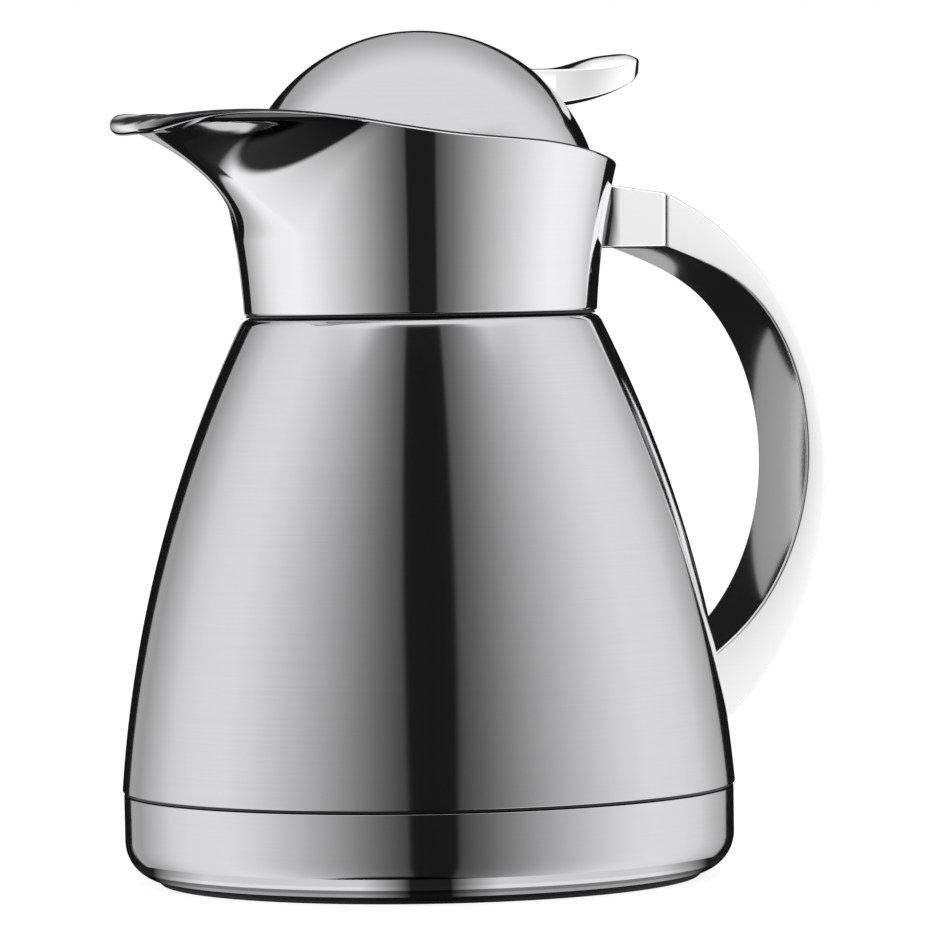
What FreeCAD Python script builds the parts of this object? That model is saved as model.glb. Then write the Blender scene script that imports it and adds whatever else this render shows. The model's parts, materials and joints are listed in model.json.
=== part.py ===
import FreeCAD, Part
import math
import os

from FreeCAD import Vector

# Thermal jug in millimetres: +Z up, origin on the table under the axis,
# handle towards +X, spout towards -X.

# Body wall
sheet = 0.8
base_radius = 78.5
neck_radius = 45.4
wall_bulge = 5.9
base_height = 23.3
body_height = 121.1
seam_gap = 0.8
neck_gap = 0.7
shoulder_round = 3.5
neck_lip = 7.4

# Base
cap_step = 0.4
cap_corner = 8.0
foot_height = 1.0
foot_inset = 9.2
foot_width = 8.0
dish_inset = 8.0
dish_slope = 5.0
dish_rise = 3.0
thread_height = 9.0
thread_wall = 3.0
plug_wall = 2.3
plug_floor = 2.5
cushion_inner = 24.0
cushion_width = 22.0

# Vacuum flask
flask_clearance = 6.6
flask_glass = 1.6
flask_vacuum = 4.2
flask_neck_vacuum = 3.8
flask_bottom = 13.0
flask_stand = 5.6
flask_neck_room = 9.0
flask_shoulder_drop = 24.4
flask_corner = 18.0
mouth_seal_height = 1.5
mouth_seal_skirt = 4.5
mouth_seal_wall = 1.8

# Collar, spout and rim
collar_sheet = 0.9
collar_step = 0.2
collar_spread = 5.2
collar_lean = 0.05
collar_height = 36.1
spout_depth = 16.5
spout_height = 12.9
spout_spare = 5.1
spout_flare = 24.1
spout_lip = 8.4
spout_limit = 33.6
spout_nose = 8.0
spout_sharpening = 3.6
lip_roll = 1.8
lip_edge = 0.5
lip_fade = 15.0
# Side view of the rim: distance along X and height above the back of the rim
rim_line = [
    (-96.0, 11.2),
    (-86.0, 12.8),
    (-72.0, 15.2),
    (-45.0, 14.2),
    (-20.0, 9.5),
    (10.0, 6.7),
    (32.0, 3.3),
    (56.0, -0.9),
]

# Pouring funnel
funnel_wall = 4.6
funnel_step = 3.0
funnel_rise = 15.6
funnel_lip_thickness = 1.6
nut_height = 6.0
nut_wall = 3.5

# Lid
dome_clearance = 3.7
dome_sink = 10.4
liner_wall = 1.8
liner_flange = 2.2
liner_gap = 0.5
liner_hinge_room = 6.5
boss_radius = 9.0
seal_gap = 0.4
seal_travel = 1.5
seal_width = 5.0
seal_height = 2.9
seal_plate_thickness = 2.5
stem_radius = 2.5
stem_clearance = 0.05
plate_spring_wire = 0.8
plate_spring_radius = 4.6
plate_spring_turns = 5
plate_spring_depth = 6.0

# Hinge
hinge_inset = 7.2
hinge_drop = 1.5
pin_radius = 1.5
pin_clearance = 0.05
ear_inner = 8.0
ear_thickness = 2.0
ear_round = 3.0
barrel_round = 3.2
yoke_plate = 1.5
yoke_gap = 0.2
yoke_width = 26.0
spring_wire = 0.7
spring_radius = 2.7
spring_turns = 5

# Thumb lever from its seat on the dome: distance outwards, then the heights of the underside,
# of the side edge and of the crown, and the half width
lever_sections = [
    (-4.4, -6.0, 5.0, 5.6, 6.0),
    (9.6, -4.1, 5.1, 6.2, 6.2),
    (17.6, -2.5, 5.3, 8.3, 6.9),
    (24.6, -0.1, 6.5, 9.2, 6.9),
    (28.6, 2.0, 7.5, 9.2, 5.6),
    (30.6, 3.5, 7.7, 8.6, 3.4),
]
lever_plate_thickness = 1.3
lever_plate_length = 20.4
lever_plate_width = 16.8
lever_angle = 47.5
lever_screw_spread = 3.3

# Handle
bracket_length = 16.6
bracket_rise = 2.4
bracket_gap = 0.5
gasket_clearance = 0.15
handle_joint_gap = 0.2
handle_stand = 37.3
handle_sag = 2.5
handle_drop = 6.3
handle_depth = 13.6
handle_foot_rise = 7.9
handle_foot_depth = 18.7
grip_lift = 4.8
grip_thickness = 5.7
grip_shoulder_high = 8.0
grip_shoulder_low = 14.4
handle_width_top = 28.6
handle_width_foot = 19.4
handle_pad = 0.6
top_screw_drop = 8.4
top_screw_spread = 4.0
top_screw_depth = 10.0
top_head_radius = 3.2
foot_screw_rise = 9.4
foot_screw_depth = 9.3
foot_head_radius = 4.2
foot_washer_thickness = 1.3

axis_z = Vector(0, 0, 1)
axis_x = Vector(1, 0, 0)
axis_y = Vector(0, 1, 0)

# Radii and distances worked out from the ones above
cap_radius = base_radius - cap_step
foot_inner = base_radius - foot_inset - foot_width
dish_radius = foot_inner - dish_inset
neck_bore = neck_radius - neck_lip
flask_neck_radius = neck_bore - flask_neck_room
flask_mouth_radius = flask_neck_radius - 2 * flask_glass - flask_neck_vacuum
collar_foot_radius = neck_radius - collar_step
collar_rim_radius = collar_foot_radius + collar_spread
funnel_lip = flask_mouth_radius + funnel_step
seal_outer = funnel_lip + seal_width
dome_radius = collar_rim_radius - dome_clearance
hinge_x = dome_radius - hinge_inset
liner_top_radius = hinge_x - liner_hinge_room
handle_seam = collar_rim_radius + bracket_length
handle_reach = base_radius + handle_stand
top_screw_end = handle_seam + top_screw_depth

# Heights worked out from the ones above
neck_seam = base_height + body_height
shell_low = base_height + seam_gap / 2
cap_high = base_height - seam_gap / 2
shell_high = neck_seam - neck_gap / 2
collar_low = neck_seam + neck_gap / 2
collar_floor = collar_low + collar_sheet
rim_back = neck_seam + collar_height
spout_root = rim_back - spout_depth
spout_tip = rim_back + spout_height
spout_top = spout_tip + spout_spare
flask_mouth = neck_seam + flask_stand
flask_shoulder = neck_seam - flask_shoulder_drop
mouth_top = flask_mouth + mouth_seal_height
funnel_edge = neck_seam + funnel_rise
lip_low = mouth_top + 0.1
lip_high = lip_low + funnel_lip_thickness
plate_low = lip_high + seal_gap + seal_height
plate_high = plate_low + seal_plate_thickness
liner_floor = plate_high + seal_travel + liner_gap
spring_seat = liner_floor + plate_spring_depth
dome_centre = rim_back - dome_sink
dome_edge = rim_back
hinge_z = rim_back - hinge_drop
flange_low = hinge_z + barrel_round + 1.2
flange_high = flange_low + liner_flange
handle_top = rim_back - handle_drop
handle_under = handle_top - handle_depth
handle_foot_low = shell_low + handle_foot_rise
handle_foot_high = handle_foot_low + handle_foot_depth
handle_middle = (handle_top + handle_foot_low) / 2 - handle_sag
top_screw_z = handle_top - top_screw_drop
foot_screw_z = handle_foot_low + foot_screw_rise


def turned(start, *moves):
    """Solid turned about Z from a closed outline of (radius, height) points; a move holding two
    points is an arc through the first to the second."""
    edges = []
    here = Vector(start[0], 0, start[1])
    first = here
    for move in moves:
        if isinstance(move[0], tuple):
            through = Vector(move[0][0], 0, move[0][1])
            there = Vector(move[1][0], 0, move[1][1])
            edges.append(Part.Arc(here, through, there).toShape())
        else:
            there = Vector(move[0], 0, move[1])
            edges.append(Part.LineSegment(here, there).toShape())
        here = there
    if here.distanceToPoint(first) > 1e-6:
        edges.append(Part.LineSegment(here, first).toShape())
    return solid_of(Part.Face(Part.Wire(edges)).revolve(Vector(0, 0, 0), axis_z, 360))


def solid_of(shape):
    """The shape with its faces pointing outwards."""
    if shape.Volume < 0:
        shape.reverse()
    return shape


def rod(radius, start, direction, length):
    """Round rod from a start point along a direction."""
    return Part.makeCylinder(radius, length, start, direction)


def block(x0, x1, y0, y1, z0, z1):
    """Rectangular block between two corners."""
    return Part.makeBox(x1 - x0, y1 - y0, z1 - z0, Vector(x0, y0, z0))


def circle_edges(shape, radius, height):
    """Level circular edges of a shape at a radius and height."""
    found = []
    for edge in shape.Edges:
        box = edge.BoundBox
        level = abs(box.ZMin - height) < 0.02 and abs(box.ZMax - height) < 0.02
        if level and abs(box.XMax - radius) < 0.05:
            found.append(edge)
    return found


def extruded(edges, width):
    """Side-view outline carried across the jug, centred on the XZ plane."""
    face = Part.Face(Part.Wire(Part.__sortEdges__(edges)))
    face.translate(Vector(0, -width / 2, 0))
    return solid_of(face.extrude(Vector(0, width, 0)))


def wall_circle():
    """Centre and radius of the body wall's arc, from its ends and its bulge."""
    run = neck_radius - base_radius
    rise = shell_high - shell_low
    chord = math.hypot(run, rise)
    radius = chord * chord / (8 * wall_bulge) + wall_bulge / 2
    back = radius - wall_bulge
    centre_r = (base_radius + neck_radius) / 2 - back * rise / chord
    centre_z = (shell_low + shell_high) / 2 + back * run / chord
    return centre_r, centre_z, radius


def wall_radius(height, inset=0.0):
    """Radius of the body wall's arc at a height, moved inwards by an inset."""
    centre_r, centre_z, radius = wall_circle()
    return centre_r + math.sqrt((radius - inset) ** 2 - (height - centre_z) ** 2)


def wall_arc(low, high, inset=0.0):
    """Move along the body wall's arc up to a height."""
    middle = (low + high) / 2
    return ((wall_radius(middle, inset), middle), (wall_radius(high, inset), high))


def collar_radius(height):
    """Radius of the collar's flared wall away from the spout."""
    rise = height - collar_low
    full = rim_back - collar_low
    flare = (collar_rim_radius - collar_foot_radius - collar_lean * full) / full**2
    return collar_foot_radius + collar_lean * rise + flare * rise * rise


def collar_band(low, high, inner, outer):
    """Turned band that follows the collar's wall between two distances from it."""
    middle = (low + high) / 2
    return turned(
        (collar_radius(low) + inner, low),
        (collar_radius(low) + outer, low),
        ((collar_radius(middle) + outer, middle), (collar_radius(high) + outer, high)),
        (collar_radius(high) + inner, high),
        ((collar_radius(middle) + inner, middle), (collar_radius(low) + inner, low)),
    )


def shell_blank(inset, low, high, corner):
    """Solid inside the body wall, its upper edge rounded."""
    blank = turned(
        (0, low),
        (wall_radius(low, inset), low),
        wall_arc(low, high, inset),
        (0, high),
    )
    return blank.makeFillet(corner, circle_edges(blank, wall_radius(high, inset), high))


def foot_screw_hole(radius, start, end):
    """Hole along the handle's foot screw, between two distances from the body wall."""
    wall = wall_radius(foot_screw_z)
    return rod(radius, Vector(wall + start, 0, foot_screw_z), axis_x, end - start)


def top_screw_holes(radius, start, end):
    """Pair of holes along the handle's top screws."""
    left = rod(radius, Vector(start, -top_screw_spread, top_screw_z), axis_x, end - start)
    right = rod(radius, Vector(start, top_screw_spread, top_screw_z), axis_x, end - start)
    return left.fuse(right)


def make_outer_shell():
    outer = shell_blank(0, shell_low, shell_high, shoulder_round)
    inner = shell_blank(sheet, shell_low, shell_high - sheet, shoulder_round - sheet)
    bore = rod(neck_bore, Vector(0, 0, neck_seam - 10), axis_z, 20)
    return outer.cut(inner).cut(bore).cut(foot_screw_hole(2.8, -8, 4))


def make_base_cap():
    corner_r = cap_radius - 0.1 - cap_corner
    corner_z = foot_height + cap_corner
    bend = cap_corner * math.sqrt(0.5)
    inner_corner = cap_corner - sheet
    inner_bend = inner_corner * math.sqrt(0.5)
    dish_low = foot_height + dish_rise
    return turned(
        (0, dish_low),
        (dish_radius, dish_low),
        (dish_radius + dish_slope, foot_height),
        (corner_r, foot_height),
        ((corner_r + bend, corner_z - bend), (cap_radius - 0.1, corner_z)),
        (cap_radius, cap_high),
        (cap_radius - sheet, cap_high),
        (cap_radius - 0.1 - sheet, corner_z),
        ((corner_r + inner_bend, corner_z - inner_bend), (corner_r, foot_height + sheet)),
        (dish_radius + dish_slope + sheet / 2, foot_height + sheet),
        (dish_radius + sheet / 2, dish_low + sheet),
        (0, dish_low + sheet),
    )


def make_foot_ring():
    outer = foot_inner + foot_width
    return turned(
        (foot_inner, 0.3),
        (foot_inner + 0.3, 0),
        (outer - 0.3, 0),
        (outer, 0.3),
        (outer, foot_height),
        (foot_inner, foot_height),
    )


def plug_thread():
    """Radius of the thread between the base's plug and the ring in the body."""
    return wall_radius(shell_low + thread_height, sheet) - thread_wall


def make_base_insert():
    floor = foot_height + dish_rise + sheet + 0.1
    shoulder = cap_radius - sheet - 0.5
    thread = plug_thread() - 0.1
    bore = plug_thread() - plug_wall
    return turned(
        (0, floor),
        (bore - 2, floor),
        (shoulder, floor + 7),
        (shoulder, cap_high - 0.9),
        (thread, cap_high - 0.9),
        (thread, shell_low + thread_height - 1),
        (bore, shell_low + thread_height - 1),
        (bore, floor + plug_floor + 4),
        (bore - 3, floor + plug_floor),
        (0, floor + plug_floor),
    )


def make_thread_ring():
    low = cap_high + 0.2
    high = shell_low + thread_height
    inset = sheet + 0.15
    thread = plug_thread() + 0.1
    return turned(
        (thread, low),
        (wall_radius(low, inset), low),
        wall_arc(low, high, inset),
        (thread, high),
    )


def flask_blank(inset, bottom, neck, top, corner):
    """One surface of the flask as a solid: rounded bottom, wall beside the shell, shoulder and neck."""
    reach = wall_radius(flask_shoulder, inset)
    neck_low = flask_shoulder + (reach - neck) * 0.75
    blank = turned(
        (0, bottom),
        (wall_radius(bottom, inset), bottom),
        wall_arc(bottom, flask_shoulder, inset),
        (neck, neck_low),
        (neck, top),
        (0, top),
    )
    blank = blank.makeFillet(corner, circle_edges(blank, wall_radius(bottom, inset), bottom))
    blank = blank.makeFillet(9.0, circle_edges(blank, reach, flask_shoulder))
    return blank.makeFillet(4.0, circle_edges(blank, neck, neck_low))


def make_glass_flask():
    step = flask_glass
    first = sheet + flask_clearance
    second = first + step
    third = second + flask_vacuum
    fourth = third + step
    low = flask_bottom
    closed = flask_mouth - 3
    outer = flask_blank(first, low, flask_neck_radius, flask_mouth, flask_corner)
    gap_outer = flask_blank(second, low + step, flask_neck_radius - step, closed, flask_corner - step)
    gap_low = low + step + flask_vacuum
    gap_inner = flask_blank(third, gap_low, flask_mouth_radius + step, closed + 1, flask_corner - 4)
    inner = flask_blank(fourth, gap_low + step, flask_mouth_radius, flask_mouth + 5, flask_corner - 5)
    reach = 2 * base_radius
    filled = inner.common(block(-reach, reach, -reach, reach, 0, flask_mouth))
    print("flask holds about", round(filled.Volume / 1e6, 3), "litres")
    return outer.cut(gap_outer.cut(gap_inner)).cut(inner)


def make_flask_cushion():
    floor = foot_height + dish_rise + sheet + 0.1 + plug_floor
    return turned(
        (cushion_inner, floor),
        (cushion_inner + cushion_width, floor),
        (cushion_inner + cushion_width, flask_bottom - 0.1),
        (cushion_inner, flask_bottom - 0.1),
    )


def make_mouth_seal():
    skirt = flask_neck_radius + 0.2
    inner = funnel_lip - 0.8
    return turned(
        (inner, flask_mouth + 0.05),
        (skirt, flask_mouth + 0.05),
        (skirt, flask_mouth - mouth_seal_skirt),
        (skirt + mouth_seal_wall, flask_mouth - mouth_seal_skirt),
        (skirt + mouth_seal_wall, mouth_top),
        (inner, mouth_top),
    )


def make_pouring_funnel():
    spigot = neck_bore - 0.4
    rim = collar_radius(funnel_edge) - collar_sheet - 0.6
    seat = collar_foot_radius - collar_sheet - 0.5
    return turned(
        (spigot - funnel_wall, shell_high - 7.5),
        (spigot, shell_high - 7.5),
        (spigot, collar_floor),
        (seat, collar_floor),
        (seat, collar_floor + 6),
        (rim, funnel_edge - 1.5),
        (rim, funnel_edge),
        (funnel_lip, lip_high),
        (funnel_lip, lip_low),
        (spigot - funnel_wall - 1.4, lip_low),
        (spigot - funnel_wall, lip_low - 1.4),
    )


def make_neck_nut():
    high = shell_high - sheet
    return turned(
        (neck_bore - 0.2, high - nut_height),
        (neck_bore + nut_wall, high - nut_height),
        (neck_bore + nut_wall, high),
        (neck_bore - 0.2, high),
    )


def make_neck_gasket():
    return turned(
        (neck_bore + 0.5, shell_high),
        (collar_foot_radius - 2.2, shell_high),
        (collar_foot_radius - 2.2, collar_low),
        (neck_bore + 0.5, collar_low),
    )


def section_angles():
    """Directions of a section's points from the spout round to it again, closest at the spout."""
    half = [180 * (step / 26) ** 1.9 for step in range(27)]
    round_again = [360 - angle for angle in reversed(half[1:-1])]
    return [math.radians(angle) for angle in half + round_again]


def section_reach(angle, radius, reach, nose):
    """Distance from the axis in a direction: round wall, flat flank or the spout's nose."""
    turn = min(angle, 2 * math.pi - angle)
    centre = reach - nose
    lean = math.acos((radius - nose) / centre)
    nose_turn = math.atan2(nose * math.sin(lean), centre + nose * math.cos(lean))
    if turn >= lean:
        return radius
    if turn > nose_turn:
        return radius / math.cos(lean - turn)
    return centre * math.cos(turn) + math.sqrt(nose**2 - (centre * math.sin(turn)) ** 2)


def spout_wire(height, radius, reach, nose):
    """Level section of the collar: the round wall with flat flanks running to the spout's nose."""
    angles = section_angles()
    points = []
    for angle in angles:
        out = section_reach(angle, radius, reach, nose)
        points.append(Vector(-out * math.cos(angle), out * math.sin(angle), height))
    curve = Part.BSplineCurve()
    curve.interpolate(Points=points, PeriodicFlag=True, Parameters=angles + [2 * math.pi])
    return Part.Wire([curve.toShape()])


def spout_stand(height):
    """How far the spout's keel stands out from the round wall: a flare, a flatter lip and a turned-up edge."""
    rise = max(height - spout_root, 0.0) / (spout_tip - spout_root)
    free = spout_flare * rise**1.5 + spout_lip * rise**6 + 0.05
    softness = 0.8
    return spout_limit - softness * math.log(1 + math.exp((spout_limit - free) / softness))


def collar_section(height, inset):
    """Wall radius, spout reach and nose radius at a height, moved inwards square to the keel."""
    radius = collar_radius(height)
    stand = spout_stand(height)
    above = collar_radius(height + 0.1) + spout_stand(height + 0.1)
    slope = (above - radius - stand) / 0.1
    nose = spout_nose + (radius - spout_nose) * math.exp(-stand / spout_sharpening)
    keel = inset * math.sqrt(1 + slope * slope)
    nose_inset = min(inset + 0.5 * (keel - inset), nose - 3)
    return radius - inset, radius + stand - keel, nose - nose_inset


def collar_blank(inset, low):
    """Solid within the collar's wall, its sections closer together towards the rim."""
    count = 26
    start = low - (spout_root - collar_low) * 0.83
    wires = []
    for step in range(count + 1):
        height = start + (spout_top - start) * (step / count) ** 0.8
        wires.append(spout_wire(height, *collar_section(height, inset)))
    loft = solid_of(Part.makeLoft(wires, True, False, False, 3))
    reach = 2 * (collar_rim_radius + spout_limit)
    return loft.cut(block(-reach, reach, -reach, reach, start - 20, low))


def rim_curve():
    """Rim's line in the side view."""
    curve = Part.BSplineCurve()
    curve.interpolate([Vector(x, 0, rim_back + z) for x, z in rim_line])
    return curve


def rim_height(curve, x):
    """Height of the rim's line at a distance along X."""
    low = curve.FirstParameter
    high = curve.LastParameter
    while high - low > 1e-6:
        middle = (low + high) / 2
        if curve.value(middle).x < x:
            low = middle
        else:
            high = middle
    return curve.value(low).z


def rim_point(curve, angle):
    """Middle of the sheet's edge in a direction from the spout."""
    height = rim_back
    for again in range(40):
        out = section_reach(abs(angle), *collar_section(height, collar_sheet / 2))
        height = rim_height(curve, -out * math.cos(angle))
    return Vector(-out * math.cos(angle), out * math.sin(angle), height)


def rolled_lip():
    """Edge of the spout rolled over into a bead, thickest at the tip and fading into the rim."""
    curve = rim_curve()
    half = [math.radians(58) * (step / 14) ** 1.7 for step in range(15)]
    turns = [-angle for angle in reversed(half[1:])] + half
    points = [rim_point(curve, angle) for angle in turns]
    tip = len(half) - 1
    run = [0.0]
    for before, after in zip(points, points[1:]):
        run.append(run[-1] + before.distanceToPoint(after))
    wires = []
    for step, point in enumerate(points):
        before = points[max(step - 1, 0)]
        after = points[min(step + 1, len(points) - 1)]
        along = (after - before).normalize()
        across = along.cross(axis_z).normalize()
        up = across.cross(along)
        far = (run[step] - run[tip]) / lip_fade
        radius = lip_edge + (lip_roll - lip_edge) * math.exp(-far * far)
        ring = [math.radians(30 * part) for part in range(12)]
        places = [point + across * (radius * math.cos(a)) + up * (radius * math.sin(a)) for a in ring]
        round_edge = Part.BSplineCurve()
        round_edge.interpolate(Points=places, PeriodicFlag=True)
        wires.append(Part.Wire([round_edge.toShape()]))
    return solid_of(Part.makeLoft(wires, True, False, False, 3))


def rim_cutter():
    """Everything above the rim's line."""
    curve = rim_curve()
    points = [curve.value(curve.FirstParameter), curve.value(curve.LastParameter)]
    top = rim_back + 60
    left = Vector(points[0].x, 0, top)
    right = Vector(points[-1].x, 0, top)
    edges = [
        curve.toShape(),
        Part.LineSegment(points[-1], right).toShape(),
        Part.LineSegment(right, left).toShape(),
        Part.LineSegment(left, points[0]).toShape(),
    ]
    return extruded(edges, 4 * collar_rim_radius)


def make_collar():
    outer = collar_blank(0, collar_low)
    inner = collar_blank(collar_sheet, collar_floor)
    bore = rod(neck_bore, Vector(0, 0, collar_low - 5), axis_z, 20)
    holes = top_screw_holes(2.3, hinge_x, handle_seam - 12)
    sheet_wall = outer.cut(inner).cut(bore).cut(rim_cutter())
    return sheet_wall.fuse(rolled_lip()).cut(holes)


def make_hinge_yoke():
    low = funnel_edge + 1
    high = hinge_z - 5.5
    wall = collar_sheet + yoke_gap
    band = collar_band(low, high, -wall - yoke_plate, -wall)
    plate = band.common(block(0, handle_seam, -yoke_width / 2, yoke_width / 2, low, high))
    back = math.sqrt((collar_radius(low) - wall - yoke_plate / 2) ** 2 - (ear_inner + ear_thickness) ** 2)
    pin = Vector(hinge_x, 0, hinge_z)
    outline = [
        (hinge_x - ear_round * 0.95, hinge_z - ear_round * 0.3),
        (hinge_x - 1.0, low + 3),
        (hinge_x + 2.0, low + 0.6),
        (back, low + 0.6),
        (back, hinge_z - 11),
        (hinge_x + ear_round * 0.9, hinge_z - ear_round * 0.45),
    ]
    points = [Vector(x, 0, z) for x, z in outline]
    ear = Part.Face(Part.makePolygon(points + points[:1])).extrude(Vector(0, ear_thickness, 0))
    boss = rod(ear_round, pin, axis_y, ear_thickness)
    ear = solid_of(ear).fuse(boss)
    right = ear.copy()
    right.translate(Vector(0, ear_inner, 0))
    left = ear.copy()
    left.translate(Vector(0, -ear_inner - ear_thickness, 0))
    bar_x = hinge_x + spring_radius - spring_wire / 2 - 0.05
    bar_z = top_screw_z + top_head_radius + 0.4
    bar = block(bar_x - 2.4, bar_x, -ear_inner - 0.5, ear_inner + 0.5, bar_z, bar_z + 3)
    yoke = plate.fuse(right).fuse(left).fuse(bar)
    pin_hole = rod(pin_radius + 0.02, pin - axis_y * yoke_width, axis_y, 2 * yoke_width)
    return yoke.cut(pin_hole).cut(top_screw_holes(2.3, hinge_x + 3.2, handle_seam)).removeSplitter()


def make_hinge_pin():
    half = ear_inner + ear_thickness + 0.6
    pin = rod(pin_radius, Vector(hinge_x, -half, hinge_z), axis_y, 2 * half)
    return pin.makeChamfer(0.3, [edge for edge in pin.Edges if edge.Closed])


def sweep_wire(path, radius, start, direction):
    """Round wire carried along a path."""
    ring = Part.Wire([Part.Circle(start, direction, radius).toShape()])
    return solid_of(Part.Wire(path).makePipeShell([ring], True, False))


def make_hinge_spring():
    half = spring_turns * (spring_wire + 0.12) / 2
    first = math.radians(80)
    turn = first + 2 * math.pi * spring_turns

    def on_coil(share):
        angle = first - turn * share
        x = hinge_x + spring_radius * math.cos(angle)
        z = hinge_z + spring_radius * math.sin(angle)
        return Vector(x, -half + 2 * half * share, z)

    along = Vector(math.sin(first), 0, -math.cos(first))
    lid_end = on_coil(0) - along * 6.2
    yoke_end = on_coil(1) - axis_z * (hinge_z - top_screw_z - top_head_radius - 0.6)
    steps = 4 * spring_turns + 1
    path = [Part.LineSegment(lid_end, on_coil(0)).toShape()]
    for step in range(steps):
        points = [on_coil((step + part) / steps) for part in (0, 0.5, 1)]
        path.append(Part.Arc(points[0], points[1], points[2]).toShape())
    path.append(Part.LineSegment(on_coil(1), yoke_end).toShape())
    return sweep_wire(path, spring_wire / 2, lid_end, along)


def make_plate_spring():
    wire = plate_spring_wire
    radius = plate_spring_radius
    turns = plate_spring_turns
    low = plate_high + wire / 2 + 0.02
    high = spring_seat - wire / 2 - 0.02

    def on_coil(share):
        angle = 2 * math.pi * turns * share
        return Vector(radius * math.cos(angle), radius * math.sin(angle), low + (high - low) * share)

    steps = 4 * turns
    path = []
    for step in range(steps):
        points = [on_coil((step + part) / steps) for part in (0, 0.5, 1)]
        path.append(Part.Arc(points[0], points[1], points[2]).toShape())
    return sweep_wire(path, wire / 2, on_coil(0), axis_y)


def handle_outline():
    """Side view of the handle: outer arc, inner curve, ends inside the jug's wall and at the seam."""
    inside = wall_radius(handle_foot_high) - 6
    seam = handle_seam + handle_joint_gap
    top = Vector(seam, 0, handle_top)
    outermost = Vector(handle_reach, 0, handle_middle)
    foot = Vector(wall_radius(handle_foot_low), 0, handle_foot_low)
    outer = Part.Arc(top, outermost, foot).toShape()
    circle = outer.Curve
    heel = Vector(inside, 0, handle_foot_low)
    toe = Vector(inside, 0, handle_foot_high - 1.8)
    crook = Vector(wall_radius(handle_foot_high), 0, handle_foot_high)
    grip_z = handle_middle + grip_lift
    high_z = grip_z + (handle_under - grip_z) * 0.776
    low_z = grip_z - (grip_z - handle_foot_high) * 0.776

    def under_arc(height, thickness):
        back = math.sqrt(circle.Radius**2 - (height - circle.Center.z) ** 2)
        return Vector(circle.Center.x + back - thickness, 0, height)

    points = [
        Vector(seam, 0, handle_under),
        under_arc(high_z, grip_shoulder_high),
        under_arc(grip_z, grip_thickness),
        under_arc(low_z, grip_shoulder_low),
        crook,
    ]
    curve = Part.BSplineCurve()
    curve.interpolate(points)
    edges = [
        outer,
        Part.LineSegment(foot, heel).toShape(),
        Part.LineSegment(heel, toe).toShape(),
        Part.LineSegment(toe, crook).toShape(),
        curve.toShape(),
        Part.LineSegment(points[0], top).toShape(),
    ]
    return edges


def taper():
    """Wedge that narrows the handle and its bracket from the top to the foot."""
    high = handle_top + 10
    low = handle_foot_low - 10
    slope = (handle_width_top - handle_width_foot) / (handle_top - handle_foot_low) / 2
    half_high = handle_width_top / 2 + slope * 10
    half_low = handle_width_foot / 2 - slope * 10
    points = [
        Vector(0, -half_low, low),
        Vector(0, half_low, low),
        Vector(0, half_high, high),
        Vector(0, -half_high, high),
    ]
    face = Part.Face(Part.makePolygon(points + points[:1]))
    return solid_of(face.extrude(Vector(handle_reach + 20, 0, 0)))


def wall_layer(inner, outer):
    """Layer over the body wall around the handle's foot."""
    low = handle_foot_low - 12
    high = handle_foot_high + 14
    return turned(
        (wall_radius(low, -inner), low),
        (wall_radius(low, -outer), low),
        wall_arc(low, high, -outer),
        (wall_radius(high, -inner), high),
        wall_arc(high, low, -inner),
    )


def make_handle():
    low = handle_foot_low - 12
    high = handle_foot_high + 14
    body = turned(
        (0, low),
        (wall_radius(low, -handle_pad), low),
        wall_arc(low, high, -handle_pad),
        (0, high),
    )
    handle = extruded(handle_outline(), 2 * handle_width_top).common(taper()).cut(body)
    holes = top_screw_holes(2.02, handle_seam - 5, top_screw_end + 0.8)
    return handle.cut(holes).cut(foot_screw_hole(2.52, -12, foot_screw_depth + 0.8))


def make_handle_foot_pad():
    blank = extruded(handle_outline(), 2 * handle_width_top).common(taper())
    pad = blank.common(wall_layer(0.03, handle_pad - 0.03))
    return pad.cut(foot_screw_hole(2.8, -12, foot_screw_depth))


def bracket_blank():
    """Bracket's block, running into the collar."""
    start = hinge_x
    slope = bracket_rise / (handle_seam - collar_radius(top_screw_z))
    rise = slope * (handle_seam - start)
    points = [
        Vector(start, 0, handle_under),
        Vector(handle_seam, 0, handle_under),
        Vector(handle_seam, 0, handle_top),
        Vector(start, 0, handle_top + rise),
    ]
    edges = Part.makePolygon(points + points[:1]).Edges
    return extruded(edges, 2 * handle_width_top).common(taper())


def make_handle_bracket():
    low = handle_under - 6
    high = rim_back + 8
    middle = (low + high) / 2
    core = turned(
        (0, low),
        (collar_radius(low) + bracket_gap, low),
        ((collar_radius(middle) + bracket_gap, middle), (collar_radius(high) + bracket_gap, high)),
        (0, high),
    )
    return bracket_blank().cut(core).cut(top_screw_holes(2.3, hinge_x, handle_seam + 5))


def make_bracket_gasket():
    band = collar_band(handle_under - 6, rim_back + 8, gasket_clearance, bracket_gap - 0.03)
    return bracket_blank().common(band).cut(top_screw_holes(2.3, hinge_x, handle_seam + 5))


def make_handle_top_screws():
    inside = collar_radius(top_screw_z - top_head_radius) - collar_sheet - yoke_gap - yoke_plate
    seat = math.sqrt(inside**2 - (top_screw_spread + top_head_radius) ** 2) - 0.1
    screws = []
    for side in (-1, 1):
        start = Vector(seat - 2.4, side * top_screw_spread, top_screw_z)
        head = rod(top_head_radius, start, axis_x, 2.4)
        shank = rod(2.0, start, axis_x, top_screw_end - start.x)
        socket = rod(1.3, start - axis_x, axis_x, 2.2)
        screws.append(head.fuse(shank).cut(socket).removeSplitter())
    return Part.makeCompound(screws)


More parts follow.
